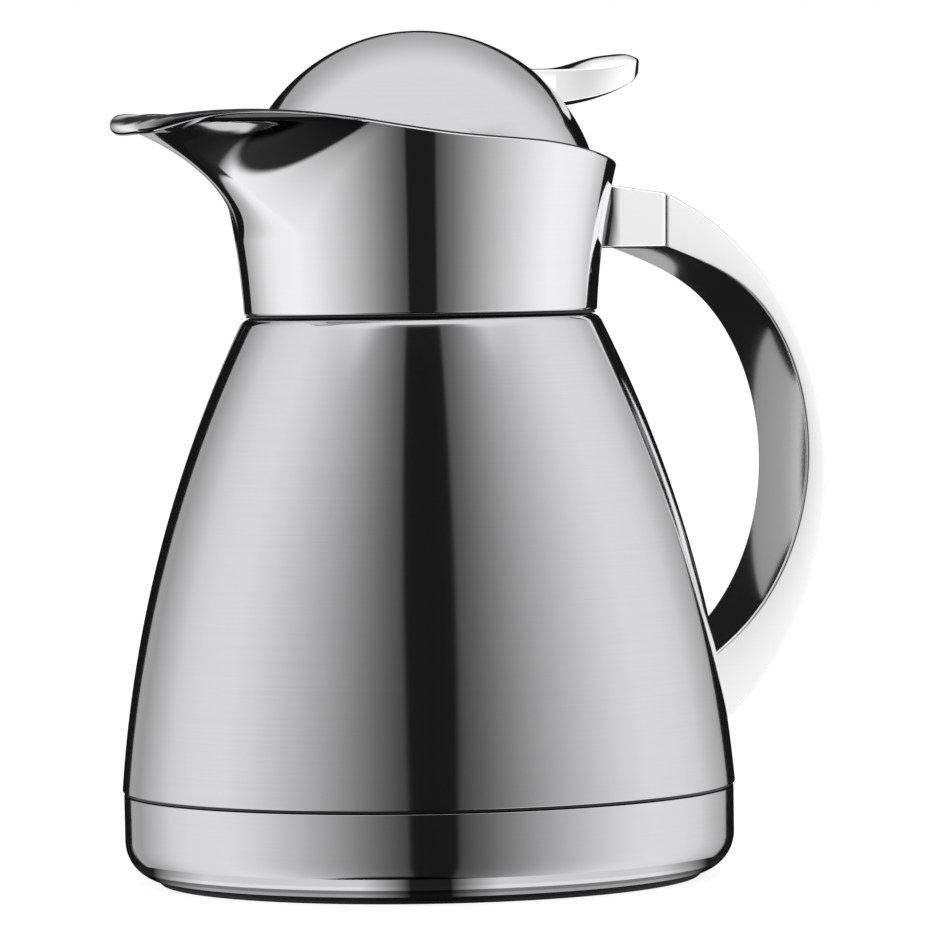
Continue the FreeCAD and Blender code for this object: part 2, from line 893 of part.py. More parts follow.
def make_handle_foot_screw():
    inside = wall_radius(foot_screw_z + foot_head_radius, sheet + foot_washer_thickness)
    seat = math.sqrt(inside**2 - foot_head_radius**2) - 0.1
    end = wall_radius(foot_screw_z) + foot_screw_depth
    start = Vector(seat - 2.6, 0, foot_screw_z)
    head = rod(foot_head_radius, start, axis_x, 2.6)
    shank = rod(2.5, start, axis_x, end - start.x)
    socket = rod(1.6, start - axis_x, axis_x, 2.4)
    return head.fuse(shank).cut(socket).removeSplitter()


def make_foot_washer():
    layer = wall_layer(-sheet - foot_washer_thickness, -sheet - 0.05)
    disc = foot_screw_hole(foot_head_radius + 2.8, -15, 15)
    return layer.common(disc).cut(foot_screw_hole(2.8, -15, 15))


def dome_ball(radius):
    return Part.makeSphere(radius, Vector(0, 0, dome_centre))


def lever_direction():
    angle = math.radians(lever_angle)
    return Vector(math.sin(angle), 0, math.cos(angle))


def lever_screw_rods(radius, start, end):
    """Pair of rods along the lever's screws, between two distances from the dome's centre."""
    direction = lever_direction()
    centre = Vector(0, 0, dome_centre)
    left = rod(radius, centre + direction * start - axis_y * lever_screw_spread, direction, end - start)
    right = rod(radius, centre + direction * start + axis_y * lever_screw_spread, direction, end - start)
    return [left, right]


def make_lid_dome():
    shell = dome_ball(dome_radius).cut(dome_ball(dome_radius - sheet))
    reach = 2 * dome_radius
    cap = shell.common(block(-reach, reach, -reach, reach, dome_edge, dome_edge + reach))
    for hole in lever_screw_rods(1.7, dome_radius - 6, dome_radius + 4):
        cap = cap.cut(hole)
    return cap


def make_lid_liner():
    inner = dome_radius - sheet
    flange = math.sqrt(inner**2 - (flange_high - dome_centre) ** 2) - 0.3
    neck = seal_outer - 0.6
    wall = liner_wall
    body = turned(
        (0, liner_floor),
        (neck, liner_floor),
        (liner_top_radius, flange_low),
        (flange, flange_low),
        (flange, flange_high),
        (liner_top_radius - wall, flange_high),
        (neck - wall, liner_floor + wall),
        (boss_radius, liner_floor + wall),
        (boss_radius, spring_seat + 11),
        (0, spring_seat + 11),
    )
    pocket_radius = plate_spring_radius + plate_spring_wire / 2 + 1.8
    pocket = rod(pocket_radius, Vector(0, 0, liner_floor - 1), axis_z, plate_spring_depth + 1)
    thread = rod(2.02, Vector(0, 0, spring_seat - 1), axis_z, 9.5)
    liner = body.cut(pocket).cut(thread)
    coil_room = spring_turns * (spring_wire + 0.12) / 2 + spring_wire
    for side in (-1, 1):
        low = min(side * coil_room, side * (ear_inner - 0.4))
        width = ear_inner - 0.4 - coil_room
        barrel = rod(barrel_round, Vector(hinge_x, low, hinge_z), axis_y, width)
        web = block(hinge_x - 2.6, hinge_x + 2.2, low, low + width, hinge_z, flange_low + 0.5)
        liner = liner.fuse(barrel).fuse(web)
    pin_hole = rod(pin_radius + pin_clearance, Vector(hinge_x, -20, hinge_z), axis_y, 40)
    return liner.cut(pin_hole).removeSplitter()


def make_lid_insulation():
    inner = dome_radius - sheet - 3.4
    low = flange_high + 0.3
    rim = math.sqrt(inner**2 - (low - dome_centre) ** 2)
    lean = math.radians(35)
    neck = seal_outer - 0.6 - liner_wall - 0.4
    top = liner_top_radius - liner_wall - 0.4
    return turned(
        (0, dome_centre + inner),
        ((inner * math.sin(lean), dome_centre + inner * math.cos(lean)), (rim, low)),
        (top, low),
        (neck, liner_floor + liner_wall + 0.4),
        (boss_radius + 0.5, liner_floor + liner_wall + 0.4),
        (boss_radius + 0.5, spring_seat + 11.4),
        (0, spring_seat + 11.4),
    )


def make_lever_plate():
    layer = dome_ball(dome_radius + lever_plate_thickness).cut(dome_ball(dome_radius + 0.05))
    direction = lever_direction()
    centre = Vector(0, 0, dome_centre)
    across = direction.cross(axis_y)
    half_length = across * (lever_plate_length / 2)
    half_width = axis_y * (lever_plate_width / 2)
    ellipse = Part.Ellipse(centre + half_length, centre + half_width, centre)
    stamp = solid_of(Part.Face(Part.Wire([ellipse.toShape()])).extrude(direction * 2 * dome_radius))
    plate = layer.common(stamp)
    for hole in lever_screw_rods(1.7, dome_radius - 6, dome_radius + 4):
        plate = plate.cut(hole)
    return plate


def lever_wire(out, under, edge, crown, half):
    """Cross-section of the lever: rounded underside, short sides and a crowned top."""
    seat = Vector(0, 0, dome_centre) + lever_direction() * dome_radius
    x = seat.x + out
    under += seat.z
    edge += seat.z
    crown += seat.z
    left = Vector(x, -half, edge)
    right = Vector(x, half, edge)
    low = half * 0.82
    drop = (edge - under) * 0.14
    low_left = Vector(x, -low, under + drop)
    low_right = Vector(x, low, under + drop)
    sides = [
        Part.Arc(left, Vector(x, 0, crown), right),
        Part.LineSegment(right, low_right),
        Part.Arc(low_right, Vector(x, 0, under), low_left),
        Part.LineSegment(low_left, left),
    ]
    return Part.Wire([side.toShape() for side in sides])


def make_thumb_lever():
    wires = [lever_wire(*row) for row in lever_sections]
    lever = solid_of(Part.makeLoft(wires, True, False))
    lever = lever.cut(dome_ball(dome_radius + lever_plate_thickness + 0.05))
    for hole in lever_screw_rods(1.52, dome_radius, dome_radius + 6.8):
        lever = lever.cut(hole)
    return lever


def make_lever_screws():
    inner = math.sqrt((dome_radius - sheet) ** 2 - (lever_screw_spread + 2.7) ** 2) - 0.1
    heads = lever_screw_rods(2.7, inner - 2.0, inner)
    shanks = lever_screw_rods(1.5, inner - 0.5, dome_radius + 6.2)
    sockets = lever_screw_rods(1.1, inner - 3.0, inner - 1.0)
    screws = []
    for head, shank, socket in zip(heads, shanks, sockets):
        screws.append(head.fuse(shank).cut(socket).removeSplitter())
    return Part.makeCompound(screws)


def make_plate_screw():
    head_high = plate_low - 0.1
    return turned(
        (0, head_high - 2),
        (5.0, head_high - 2),
        (5.5, head_high - 1.5),
        (5.5, head_high),
        (stem_radius, head_high),
        (stem_radius, spring_seat - 0.05),
        (2.0, spring_seat - 0.05),
        (2.0, spring_seat + 8),
        (0, spring_seat + 8),
    )


def make_seal_plate():
    rim = seal_outer - 1.0
    return turned(
        (stem_radius + stem_clearance, plate_low),
        (rim, plate_low),
        (rim, plate_high - 0.6),
        (rim - 0.6, plate_high),
        (stem_radius + stem_clearance, plate_high),
    )


def make_seal_ring():
    slope = (funnel_edge - lip_high) / (collar_radius(funnel_edge) - collar_sheet - 0.6 - funnel_lip)
    low = lip_high + seal_gap
    return turned(
        (funnel_lip - seal_width, low),
        (funnel_lip, low),
        (seal_outer, low + slope * (seal_outer - funnel_lip)),
        (seal_outer, plate_low),
        (funnel_lip - seal_width, plate_low),
    )


pieces = {
    "outer_shell": make_outer_shell,
    "base_cap": make_base_cap,
    "foot_ring": make_foot_ring,
    "base_insert": make_base_insert,
    "thread_ring": make_thread_ring,
    "flask_cushion": make_flask_cushion,
    "glass_flask": make_glass_flask,
    "mouth_seal": make_mouth_seal,
    "pouring_funnel": make_pouring_funnel,
    "neck_nut": make_neck_nut,
    "neck_gasket": make_neck_gasket,
    "collar": make_collar,
    "hinge_yoke": make_hinge_yoke,
    "hinge_pin": make_hinge_pin,
    "hinge_spring": make_hinge_spring,
    "handle": make_handle,
    "handle_bracket": make_handle_bracket,
    "bracket_gasket": make_bracket_gasket,
    "handle_top_screws": make_handle_top_screws,
    "handle_foot_screw": make_handle_foot_screw,
    "foot_washer": make_foot_washer,
    "handle_foot_pad": make_handle_foot_pad,
    "lid_dome": make_lid_dome,
    "lid_liner": make_lid_liner,
    "lid_insulation": make_lid_insulation,
    "thumb_lever": make_thumb_lever,
    "lever_plate": make_lever_plate,
    "lever_screws": make_lever_screws,
    "plate_screw": make_plate_screw,
    "seal_plate": make_seal_plate,
    "seal_ring": make_seal_ring,
    "plate_spring": make_plate_spring,
}

os.makedirs("parts", exist_ok=True)
for name, make in pieces.items():
    shape = make()
    shape.exportStep("parts/" + name + ".step")
    print(name, len(shape.Solids), round(shape.Volume, 1), shape.isValid())
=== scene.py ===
import json
import math

import bpy
import numpy as np
from mathutils import Matrix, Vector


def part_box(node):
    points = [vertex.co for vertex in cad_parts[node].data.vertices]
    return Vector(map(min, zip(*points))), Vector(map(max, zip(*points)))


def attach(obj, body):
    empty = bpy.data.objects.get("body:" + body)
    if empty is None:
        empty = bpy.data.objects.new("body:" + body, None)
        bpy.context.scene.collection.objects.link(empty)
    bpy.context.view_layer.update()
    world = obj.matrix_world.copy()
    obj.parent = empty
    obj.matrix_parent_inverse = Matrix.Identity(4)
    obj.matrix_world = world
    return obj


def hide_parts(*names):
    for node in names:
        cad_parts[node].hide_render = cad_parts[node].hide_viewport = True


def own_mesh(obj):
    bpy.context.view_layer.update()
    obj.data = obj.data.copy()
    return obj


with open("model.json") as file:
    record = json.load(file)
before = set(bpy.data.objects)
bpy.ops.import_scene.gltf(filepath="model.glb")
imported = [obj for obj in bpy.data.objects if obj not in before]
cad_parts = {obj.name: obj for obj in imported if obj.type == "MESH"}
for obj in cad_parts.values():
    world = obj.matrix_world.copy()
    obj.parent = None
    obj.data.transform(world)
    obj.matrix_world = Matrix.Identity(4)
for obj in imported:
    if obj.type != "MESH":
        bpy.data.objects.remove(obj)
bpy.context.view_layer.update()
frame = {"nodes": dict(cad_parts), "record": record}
mm = 0.001


# Small helpers for node trees

def emptyTree(owner):
    owner.use_nodes = True
    owner.node_tree.nodes.clear()
    return owner.node_tree


def addNode(tree, kind, inputs=None, **settings):
    node = tree.nodes.new(kind)
    for key, value in settings.items():
        setattr(node, key, value)
    for key, value in (inputs or {}).items():
        if isinstance(value, bpy.types.NodeSocket):
            tree.links.new(value, node.inputs[key])
        else:
            node.inputs[key].default_value = value
    return node


def maths(tree, operation, first, second=0.0):
    return addNode(tree, "ShaderNodeMath", {0: first, 1: second}, operation=operation).outputs[0]


def vectorMaths(tree, operation, first, second):
    return addNode(tree, "ShaderNodeVectorMath", {0: first, 1: second}, operation=operation).outputs


def dot(tree, first, second):
    return vectorMaths(tree, "DOT_PRODUCT", first, second)["Value"]


def mixed(tree, share, first, second):
    return addNode(tree, "ShaderNodeMix", {0: share, 2: first, 3: second}, data_type="FLOAT").outputs[0]


def remap(tree, value, low, high, start, end, kind="LINEAR"):
    inputs = {"Value": value, "From Min": low, "From Max": high, "To Min": start, "To Max": end}
    return addNode(tree, "ShaderNodeMapRange", inputs, interpolation_type=kind).outputs["Result"]


def softStep(tree, value, edge, soft, start, end):
    # From start to end as the value passes the edge, beginning and ending softly on each side of it
    return remap(tree, value, edge - soft, edge + soft, start, end, "SMOOTHSTEP")


def greyRamp(tree, value, stops):
    ramp = addNode(tree, "ShaderNodeValToRGB", {"Fac": value})
    elements = ramp.color_ramp.elements
    while len(elements) < len(stops):
        elements.new(0.5)
    for element, (place, grey) in zip(elements, stops):
        element.position = place
        element.color = (grey, grey, grey, 1)
    return ramp.outputs["Color"]


def newGroup(name, inputs, outputs):
    group = bpy.data.node_groups.new(name, "ShaderNodeTree")
    for label, kind, value in inputs:
        socket = group.interface.new_socket(label, in_out="INPUT", socket_type=kind)
        if value is not None:
            socket.default_value = value
    for label, kind in outputs:
        group.interface.new_socket(label, in_out="OUTPUT", socket_type=kind)
    start = group.nodes.new("NodeGroupInput")
    end = group.nodes.new("NodeGroupOutput")
    return group, start.outputs, end.inputs


# Camera of the photograph: turned from the jug's front, slightly above the spout, barely tilted

photoCamera = {
    "distance": 1.615,
    "height": 0.1568,
    "azimuth": -30.0,
    "lookRight": 0.4106,
    "lookDown": 1.849,
    "roll": -1.0,
    "lens": 242.4,
    "sensor": 36.0,
    "farthest": 50.0,
}


def placeCamera(view):
    turn = math.radians(view["azimuth"])
    data = bpy.data.cameras.new("photoCamera")
    data.lens = view["lens"]
    data.sensor_width = view["sensor"]
    data.sensor_fit = "HORIZONTAL"
    data.clip_end = view["farthest"]
    camera = bpy.data.objects.new("photoCamera", data)
    bpy.context.collection.objects.link(camera)
    place = (view["distance"] * math.sin(turn), -view["distance"] * math.cos(turn), view["height"])
    heading = Matrix.Rotation(turn - math.radians(view["lookRight"]), 4, "Z")
    tilt = Matrix.Rotation(math.radians(90 - view["lookDown"]), 4, "X")
    roll = Matrix.Rotation(math.radians(view["roll"]), 4, "Z")
    camera.matrix_world = Matrix.Translation(place) @ heading @ tilt @ roll
    bpy.context.scene.camera = camera


placeCamera(photoCamera)
print("camera placed")


# Studio: two broad panels meeting at a dark slot in front, a bright ceiling, dark ground under the spout

studio = {
    "slotCentre": 1.4,            # angles are in degrees
    "slotHalf": 8.2,
    "slotWiden": 4.5,
    "slotRise": (5.0, 48.0),
    "slotEdge": 2.5,
    "slotShade": 0.16,
    "leftGain": 1.05,
    "panel": [(0, 0.09), (11, 0.10), (20, 0.20), (30, 0.35), (45, 0.61), (60, 0.84), (75, 1.05),
              (90, 1.17), (110, 1.12), (122, 1.0), (130, 0.82), (148, 0.5), (180, 0.5)],
    "ceilingFront": (52.0, 62.0),
    "ceilingSide": (40.0, 50.0),
    "ceilingBack": (12.0, 64.0),
    "ceilingAside": (25.0, 52.0),
    "ceilingBehind": (-0.45, 0.0),
    "ceilingLevel": 1.16,
    "ceilingFade": (-0.9, -0.3, 0.6),
    "groundShade": 0.03,
    "groundTurn": -20.0,
    "groundDrop": 69.0,
    "groundSpread": 24.6,
    "groundEdge": 0.012,
    "groundLow": -76.0,
    "groundLowEdge": 2.0,
    "strip": 0.48,
    "stripEdge": 0.02,
    "stripBehind": (-0.1, 0.0),
    "stripLevel": (-14.0, -6.0),
}


def fromCamera(tree, way):
    # A direction's share towards the camera's side and to its right, and its bearing to the right in degrees
    turn = math.radians(photoCamera["azimuth"])
    ahead = dot(tree, way, (math.sin(turn), -math.cos(turn), 0.0))
    aside = dot(tree, way, (math.cos(turn), math.sin(turn), 0.0))
    return ahead, aside, maths(tree, "DEGREES", maths(tree, "ARCTAN2", aside, ahead))


def studioWalls(tree, values, bearing, height):
    # Panels that brighten with the angle from the slot, which is dark and widens upwards
    offset = maths(tree, "SUBTRACT", bearing, values["slotCentre"])
    spread = maths(tree, "MAXIMUM", offset, maths(tree, "MULTIPLY", offset, -values["leftGain"]))
    stops = [(angle / 180, level) for angle, level in values["panel"]]
    panels = greyRamp(tree, maths(tree, "DIVIDE", spread, 180.0), stops)
    narrow = values["slotHalf"]
    half = remap(tree, height, *values["slotRise"], narrow, narrow + values["slotWiden"])
    past = maths(tree, "SUBTRACT", spread, half)
    slot = remap(tree, past, 0.0, values["slotEdge"], values["slotShade"], 1.0, "SMOOTHSTEP")
    return maths(tree, "MULTIPLY", panels, slot), spread


def studioCeiling(tree, values, ahead, spread, height):
    # Light that dims behind the jug, over an edge that is lower at the sides and lowest behind
    start, end, dimmest = values["ceilingFade"]
    light = maths(tree, "MULTIPLY", remap(tree, ahead, start, end, dimmest, 1.0), values["ceilingLevel"])
    edges = []
    for front, side, back in zip(values["ceilingFront"], values["ceilingSide"], values["ceilingBack"]):
        nearer = remap(tree, spread, *values["ceilingAside"], front, side)
        edges.append(remap(tree, ahead, *values["ceilingBehind"], back, nearer))
    return light, remap(tree, height, *edges, 0.0, 1.0, "SMOOTHSTEP")


def studioGround(tree, values, way, ahead, aside, height):
    # Dark below in three places: a round patch under the spout, straight down, and a strip behind the jug
    dark = values["groundShade"]
    turn = math.radians(photoCamera["azimuth"]) + math.radians(values["groundTurn"])
    drop = math.radians(values["groundDrop"])
    patch = (math.sin(turn) * math.cos(drop), -math.cos(turn) * math.cos(drop), -math.sin(drop))
    edge = math.cos(math.radians(values["groundSpread"]))
    underSpout = softStep(tree, dot(tree, way, patch), edge, values["groundEdge"], 1.0, dark)
    straightDown = softStep(tree, height, values["groundLow"], values["groundLowEdge"], dark, 1.0)
    sideways = maths(tree, "ABSOLUTE", aside)
    strip = softStep(tree, sideways, values["strip"], values["stripEdge"], dark, 1.0)
    inFront = remap(tree, ahead, *values["stripBehind"], 0.0, 1.0)
    level = remap(tree, height, *values["stripLevel"], 0.0, 1.0)
    behind = maths(tree, "MAXIMUM", strip, maths(tree, "MAXIMUM", inFront, level))
    return maths(tree, "MULTIPLY", straightDown, maths(tree, "MULTIPLY", underSpout, behind))


def lightStudio(values):
    # White to the camera, and walls, ceiling and ground to everything else
    scene = bpy.context.scene
    scene.view_settings.view_transform = "Standard"
    scene.world = bpy.data.worlds.new("studio")
    tree = emptyTree(scene.world)
    way = addNode(tree, "ShaderNodeTexCoord").outputs["Generated"]
    ahead, aside, bearing = fromCamera(tree, way)
    up = addNode(tree, "ShaderNodeSeparateXYZ", {0: way}).outputs["Z"]
    height = maths(tree, "DEGREES", maths(tree, "ARCSINE", up))
    walls, spread = studioWalls(tree, values, bearing, height)
    ceiling, isCeiling = studioCeiling(tree, values, ahead, spread, height)
    room = mixed(tree, isCeiling, walls, ceiling)
    seen = maths(tree, "MULTIPLY", room, studioGround(tree, values, way, ahead, aside, height))
    isCamera = addNode(tree, "ShaderNodeLightPath").outputs["Is Camera Ray"]
    light = mixed(tree, isCamera, seen, 1.0)
    glow = addNode(tree, "ShaderNodeBackground", {"Color": (1, 1, 1, 1), "Strength": light})
    addNode(tree, "ShaderNodeOutputWorld", {"Surface": glow.outputs[0]})


lightStudio(studio)


# Floor of white paper, and cards out of the picture that only the polished steel shows

def flatPiece(name, corners, faces, material):
    # Corners are in millimetres
    data = bpy.data.meshes.new(name)
    data.from_pydata((corners * mm).tolist(), [], faces)
    data.materials.append(material)
    piece = bpy.data.objects.new(name, data)
    bpy.context.collection.objects.link(piece)
    return piece


floorPaper = {"half": 30000.0, "tone": 0.3, "glow": 0.88}


def layFloor(values):
    # The glow whitens the paper for the camera alone, and its grey takes the jug's shadow
    paper = bpy.data.materials.new("whitePaper")
    tree = emptyTree(paper)
    tone = values["tone"]
    isCamera = addNode(tree, "ShaderNodeLightPath").outputs["Is Camera Ray"]
    matt = addNode(tree, "ShaderNodeBsdfDiffuse", {"Color": (tone, tone, tone, 1)})
    strength = maths(tree, "MULTIPLY", isCamera, values["glow"])
    glow = addNode(tree, "ShaderNodeEmission", {"Strength": strength})
    both = addNode(tree, "ShaderNodeAddShader", {0: matt.outputs[0], 1: glow.outputs[0]})
    addNode(tree, "ShaderNodeOutputMaterial", {"Surface": both.outputs[0]})
    corners = np.array([(-1, -1, 0), (1, -1, 0), (1, 1, 0), (-1, 1, 0)]) * values["half"]
    floor = flatPiece("floor", corners, [(0, 1, 2, 3)], paper)
    floor.visible_glossy = False


layFloor(floorPaper)


def seenInSteelOnly(piece):
    piece.visible_camera = False
    piece.visible_diffuse = False
    piece.visible_shadow = False
    piece.visible_transmission = False


def cardPaper(card, start, halfAcross):
    # Glows from its first side to its last, and shows as a ray's length goes through its reach
    paper = bpy.data.materials.new(card["name"])
    tree = emptyTree(paper)
    where = addNode(tree, "ShaderNodeTexCoord").outputs["Object"]
    past = vectorMaths(tree, "SUBTRACT", where, tuple(start * mm))[0]
    along = tuple(halfAcross / (2 * (halfAcross @ halfAcross) * mm))
    light = greyRamp(tree, dot(tree, past, along), card["light"])
    glow = addNode(tree, "ShaderNodeEmission", {"Color": light})
    clear = addNode(tree, "ShaderNodeBsdfTransparent")
    length = addNode(tree, "ShaderNodeLightPath").outputs["Ray Length"]
    hidden, full = [reach * mm for reach in card["reach"]]
    shown = remap(tree, length, hidden, full, 0.0, 1.0)
    both = addNode(tree, "ShaderNodeMixShader", {0: shown, 1: clear.outputs[0], 2: glow.outputs[0]})
    addNode(tree, "ShaderNodeOutputMaterial", {"Surface": both.outputs[0]})
    return paper


def hangCard(card):
    # Four corners, half a side across and half a side up from the middle
    middle, halfAcross, halfUp = [np.array(card[key]) for key in ("middle", "halfAcross", "halfUp")]
    corners = np.array([middle - halfAcross - halfUp, middle + halfAcross - halfUp,
                        middle + halfAcross + halfUp, middle - halfAcross + halfUp])
    paper = cardPaper(card, middle - halfAcross, halfAcross)
    seenInSteelOnly(flatPiece(card["name"], corners, [(0, 1, 2, 3)], paper))


cards = [
    {   # Black cloth behind the jug draws its dark outlines
        "name": "clothBehind",
        "middle": (71.0, 114.9, -52.0),
        "halfAcross": (137.7, -79.5, 0.0),
        "halfUp": (0.0, 0.0, 317.0),
        "light": [(0.0, 0.01), (1.0, 0.01)],
        "reach": (94.0, 100.0),
    },
    {   # Grey card seen in the inner face of the handle
        "name": "gripCard",
        "middle": (28.4, 137.2, 105.0),
        "halfAcross": (31.2, -18.0, 0.0),
        "halfUp": (0.0, 0.0, 55.0),
        "light": [(0.0, 0.41), (0.1, 0.37), (0.3, 0.335), (0.6, 0.31), (1.0, 0.27)],
        "reach": (110.0, 122.0),
    },
    {   # Its brighter end, shown only to the handle's near edge
        "name": "gripEndCard",
        "middle": (-16.6, 163.2, 107.0),
        "halfAcross": (13.9, -8.0, 0.0),
        "halfUp": (0.0, 0.0, 71.0),
        "light": [(0.0, 0.6), (0.5, 0.5), (1.0, 0.41)],
        "reach": (160.0, 175.0),
    },
    {   # Small grey card seen where the handle leaves the bracket, clear to all that stands further off
        "name": "shoulderCard",
        "middle": (111.0, 87.2, 132.5),
        "halfAcross": (15.2, -8.75, -11.5),
        "halfUp": (0.0, 0.0, 9.5),
        "light": [(0.0, 0.33), (1.0, 0.42)],
        "reach": (126.0, 120.0),
    },
    {   # Bright card over the rim, seen in the foot of the dome
        "name": "domeCard",
        "middle": (-42.5, -73.6, 257.0),
        "halfAcross": (52.0, -30.0, 0.0),
        "halfUp": (0.0, 0.0, 45.0),
        "light": [(0.0, 1.14), (1.0, 1.14)],
        "reach": (1.0, 2.0),
    },
    {   # Small black card behind the thumb lever, clear to all that stands further off
        "name": "leverCard",
        "middle": (73.0, 45.0, 250.0),
        "halfAcross": (23.0, 0.0, 0.0),
        "halfUp": (0.0, 0.0, 28.0),
        "light": [(0.0, 0.01), (1.0, 0.01)],
        "reach": (72.0, 66.0),
    },
]

nearPaper = {
    "inner": 70.0,
    "outer": 82.0,
    "columns": 120,
    "slot": 4.0,
    "slotFade": 14.0,
    "slotShade": 0.02,
    "side": 52.0,
    "sideFade": 76.0,
    "light": [(0.0, 0.0), (0.02, 0.0), (0.05, 0.55), (0.22, 0.5), (0.25, 0.3), (0.38, 0.3), (0.42, 1.2),
              (0.55, 1.2), (0.6, 1.0), (1.0, 1.0)],
}


def nearPaperGlow(values):
    # Glow painted with the floor's shading under the jug: a ramp by distance from the axis, darkest close
    # under the base where the jug's contact shadow falls; dark at the slot in front and away from the
    # camera's side
    paper = bpy.data.materials.new("nearPaper")
    tree = emptyTree(paper)
    where = addNode(tree, "ShaderNodeTexCoord").outputs["Object"]
    distance = addNode(tree, "ShaderNodeVectorMath", {0: where}, operation="LENGTH").outputs["Value"]
    share = remap(tree, distance, values["inner"] * mm, values["outer"] * mm, 0.0, 1.0)
    aside = maths(tree, "ABSOLUTE", fromCamera(tree, where)[2])
    front = remap(tree, aside, values["slot"], values["slotFade"], values["slotShade"], 1.0)
    sides = remap(tree, aside, values["side"], values["sideFade"], 1.0, values["slotShade"])
    strength = maths(tree, "MULTIPLY", front, sides)
    # Painted shadow: the ramp darkens the paper towards the base, as the jug's contact shadow
    light = greyRamp(tree, share, values["light"])
    glow = addNode(tree, "ShaderNodeEmission", {"Color": light, "Strength": strength})
    addNode(tree, "ShaderNodeOutputMaterial", {"Surface": glow.outputs[0]})
    return paper


def layNearPaper(values):
    # Flat ring under the base's rounded corner, between an inner and an outer circle
    columns = values["columns"]
    angle = np.linspace(0, 2 * np.pi, columns, endpoint=False)
    ring = np.stack([np.cos(angle), np.sin(angle), np.zeros(columns)], axis=1)
    index = np.arange(columns)
    onward = np.roll(index, -1)
    faces = np.stack([index, onward, onward + columns, index + columns], axis=1)
    corners = np.vstack([ring * values["inner"], ring * values["outer"]])
    seenInSteelOnly(flatPiece("nearPaper", corners, faces.tolist(), nearPaperGlow(values)))


layNearPaper(nearPaper)
for card in cards:
    hangCard(card)
print("studio lit")


# Finishes

def makeBrushedLines():
    # Fine level streaks: noise squeezed in height, drawn out round the jug
    drawnOut = 14.0
    inputs = [("Vector", "NodeSocketVector", None), ("Lines", "NodeSocketFloat", 2400.0),
              ("Strength", "NodeSocketFloat", 0.06)]
    outputs = [("Shade", "NodeSocketFloat"), ("Height", "NodeSocketFloat")]
    group, given, result = newGroup("brushedLines", inputs, outputs)
    stretch = addNode(group, "ShaderNodeCombineXYZ", {0: drawnOut, 1: drawnOut, 2: given["Lines"]}).outputs[0]
    squeezed = vectorMaths(group, "MULTIPLY", given["Vector"], stretch)[0]
    noise = {"Vector": squeezed, "Scale": 1.0, "Detail": 3.0}
    streaks = addNode(group, "ShaderNodeTexNoise", noise).outputs[0]
    centred = maths(group, "SUBTRACT", streaks, 0.5)
    shade = maths(group, "ADD", maths(group, "MULTIPLY", centred, given["Strength"]), 1.0)
    group.links.new(shade, result["Shade"])
    group.links.new(streaks, result["Height"])
    return group


def makeHandling():
    # Soft cloudy patches left by wiping and handling
    inputs = [("Vector", "NodeSocketVector", None), ("Scale", "NodeSocketFloat", 22.0),
              ("Low", "NodeSocketFloat", 0.15), ("High", "NodeSocketFloat", 0.2)]
    group, given, result = newGroup("handling", inputs, [("Value", "NodeSocketFloat")])
    noise = {"Vector": given["Vector"], "Scale": given["Scale"], "Detail": 4.0}
    clouds = addNode(group, "ShaderNodeTexNoise", noise).outputs[0]
    group.links.new(remap(group, clouds, 0.3, 0.7, given["Low"], given["High"]), result["Value"])
    return group


def makeFineGrain():
    # Fine even grain of a moulded surface
    inputs = [("Vector", "NodeSocketVector", None), ("Scale", "NodeSocketFloat", 1800.0)]
    group, given, result = newGroup("fineGrain", inputs, [("Height", "NodeSocketFloat")])
    grain = addNode(group, "ShaderNodeTexVoronoi", {"Vector": given["Vector"], "Scale": given["Scale"]})
    group.links.new(grain.outputs["Distance"], result["Height"])
    return group


brushedLines = makeBrushedLines()
handling = makeHandling()
fineGrain = makeFineGrain()
lineDepth = 0.00002
grainDepth = 0.0001
mottle = {"Scale": 35.0, "Low": 0.85, "High": 1.15}
# Painted shade for the collar's rim: how dark and how rough the marked strip is made
rimPaintedShadeLook = {"shade": 0.015, "rough": 0.75}


def startMaterial(name):
    material = bpy.data.materials.new(name)
    material.use_nodes = True
    tree = material.node_tree
    shader = tree.nodes["Principled BSDF"]
    where = addNode(tree, "ShaderNodeTexCoord").outputs["Object"]
    return material, tree, shader, where


def useGroup(tree, group, where, **values):
    node = addNode(tree, "ShaderNodeGroup", node_tree=group)
    tree.links.new(where, node.inputs["Vector"])
    for key, value in values.items():
        node.inputs[key].default_value = value
    return node.outputs


def applyFinish(tree, shader, tint, rough, height, strength, depth):
    bump = addNode(tree, "ShaderNodeBump", {"Strength": strength, "Distance": depth, "Height": height})
    tree.links.new(tint, shader.inputs["Base Color"])
    tree.links.new(rough, shader.inputs["Roughness"])
    tree.links.new(bump.outputs[0], shader.inputs["Normal"])


def steel(name, tone, rough, lines, streak, bump, rimPaintedShade=False):
    material, tree, shader, where = startMaterial(name)
    shader.inputs["Metallic"].default_value = 1.0
    brushed = useGroup(tree, brushedLines, where, Lines=lines, Strength=streak)
    tint = vectorMaths(tree, "MULTIPLY", tone, brushed["Shade"])[0]
    wiped = useGroup(tree, handling, where, Low=rough[0], High=rough[1])["Value"]
    if rimPaintedShade:
        # The piece's attribute marks painted shade on the rim's top and the lip's bead: there the steel turns
        # near-black, rough and not metallic, standing in for a dark reflection along the rim
        rimPaintedShadeMask = addNode(tree, "ShaderNodeAttribute", attribute_name="rimPaintedShade").outputs["Fac"]
        dark = remap(tree, rimPaintedShadeMask, 0.0, 1.0, 1.0, rimPaintedShadeLook["shade"])
        tint = vectorMaths(tree, "MULTIPLY", tint, dark)[0]
        wiped = maths(tree, "MAXIMUM", wiped, maths(tree, "MULTIPLY", rimPaintedShadeMask, rimPaintedShadeLook["rough"]))
        tree.links.new(maths(tree, "SUBTRACT", 1.0, rimPaintedShadeMask), shader.inputs["Metallic"])
    applyFinish(tree, shader, tint, wiped, brushed["Height"], bump, lineDepth)
    return material


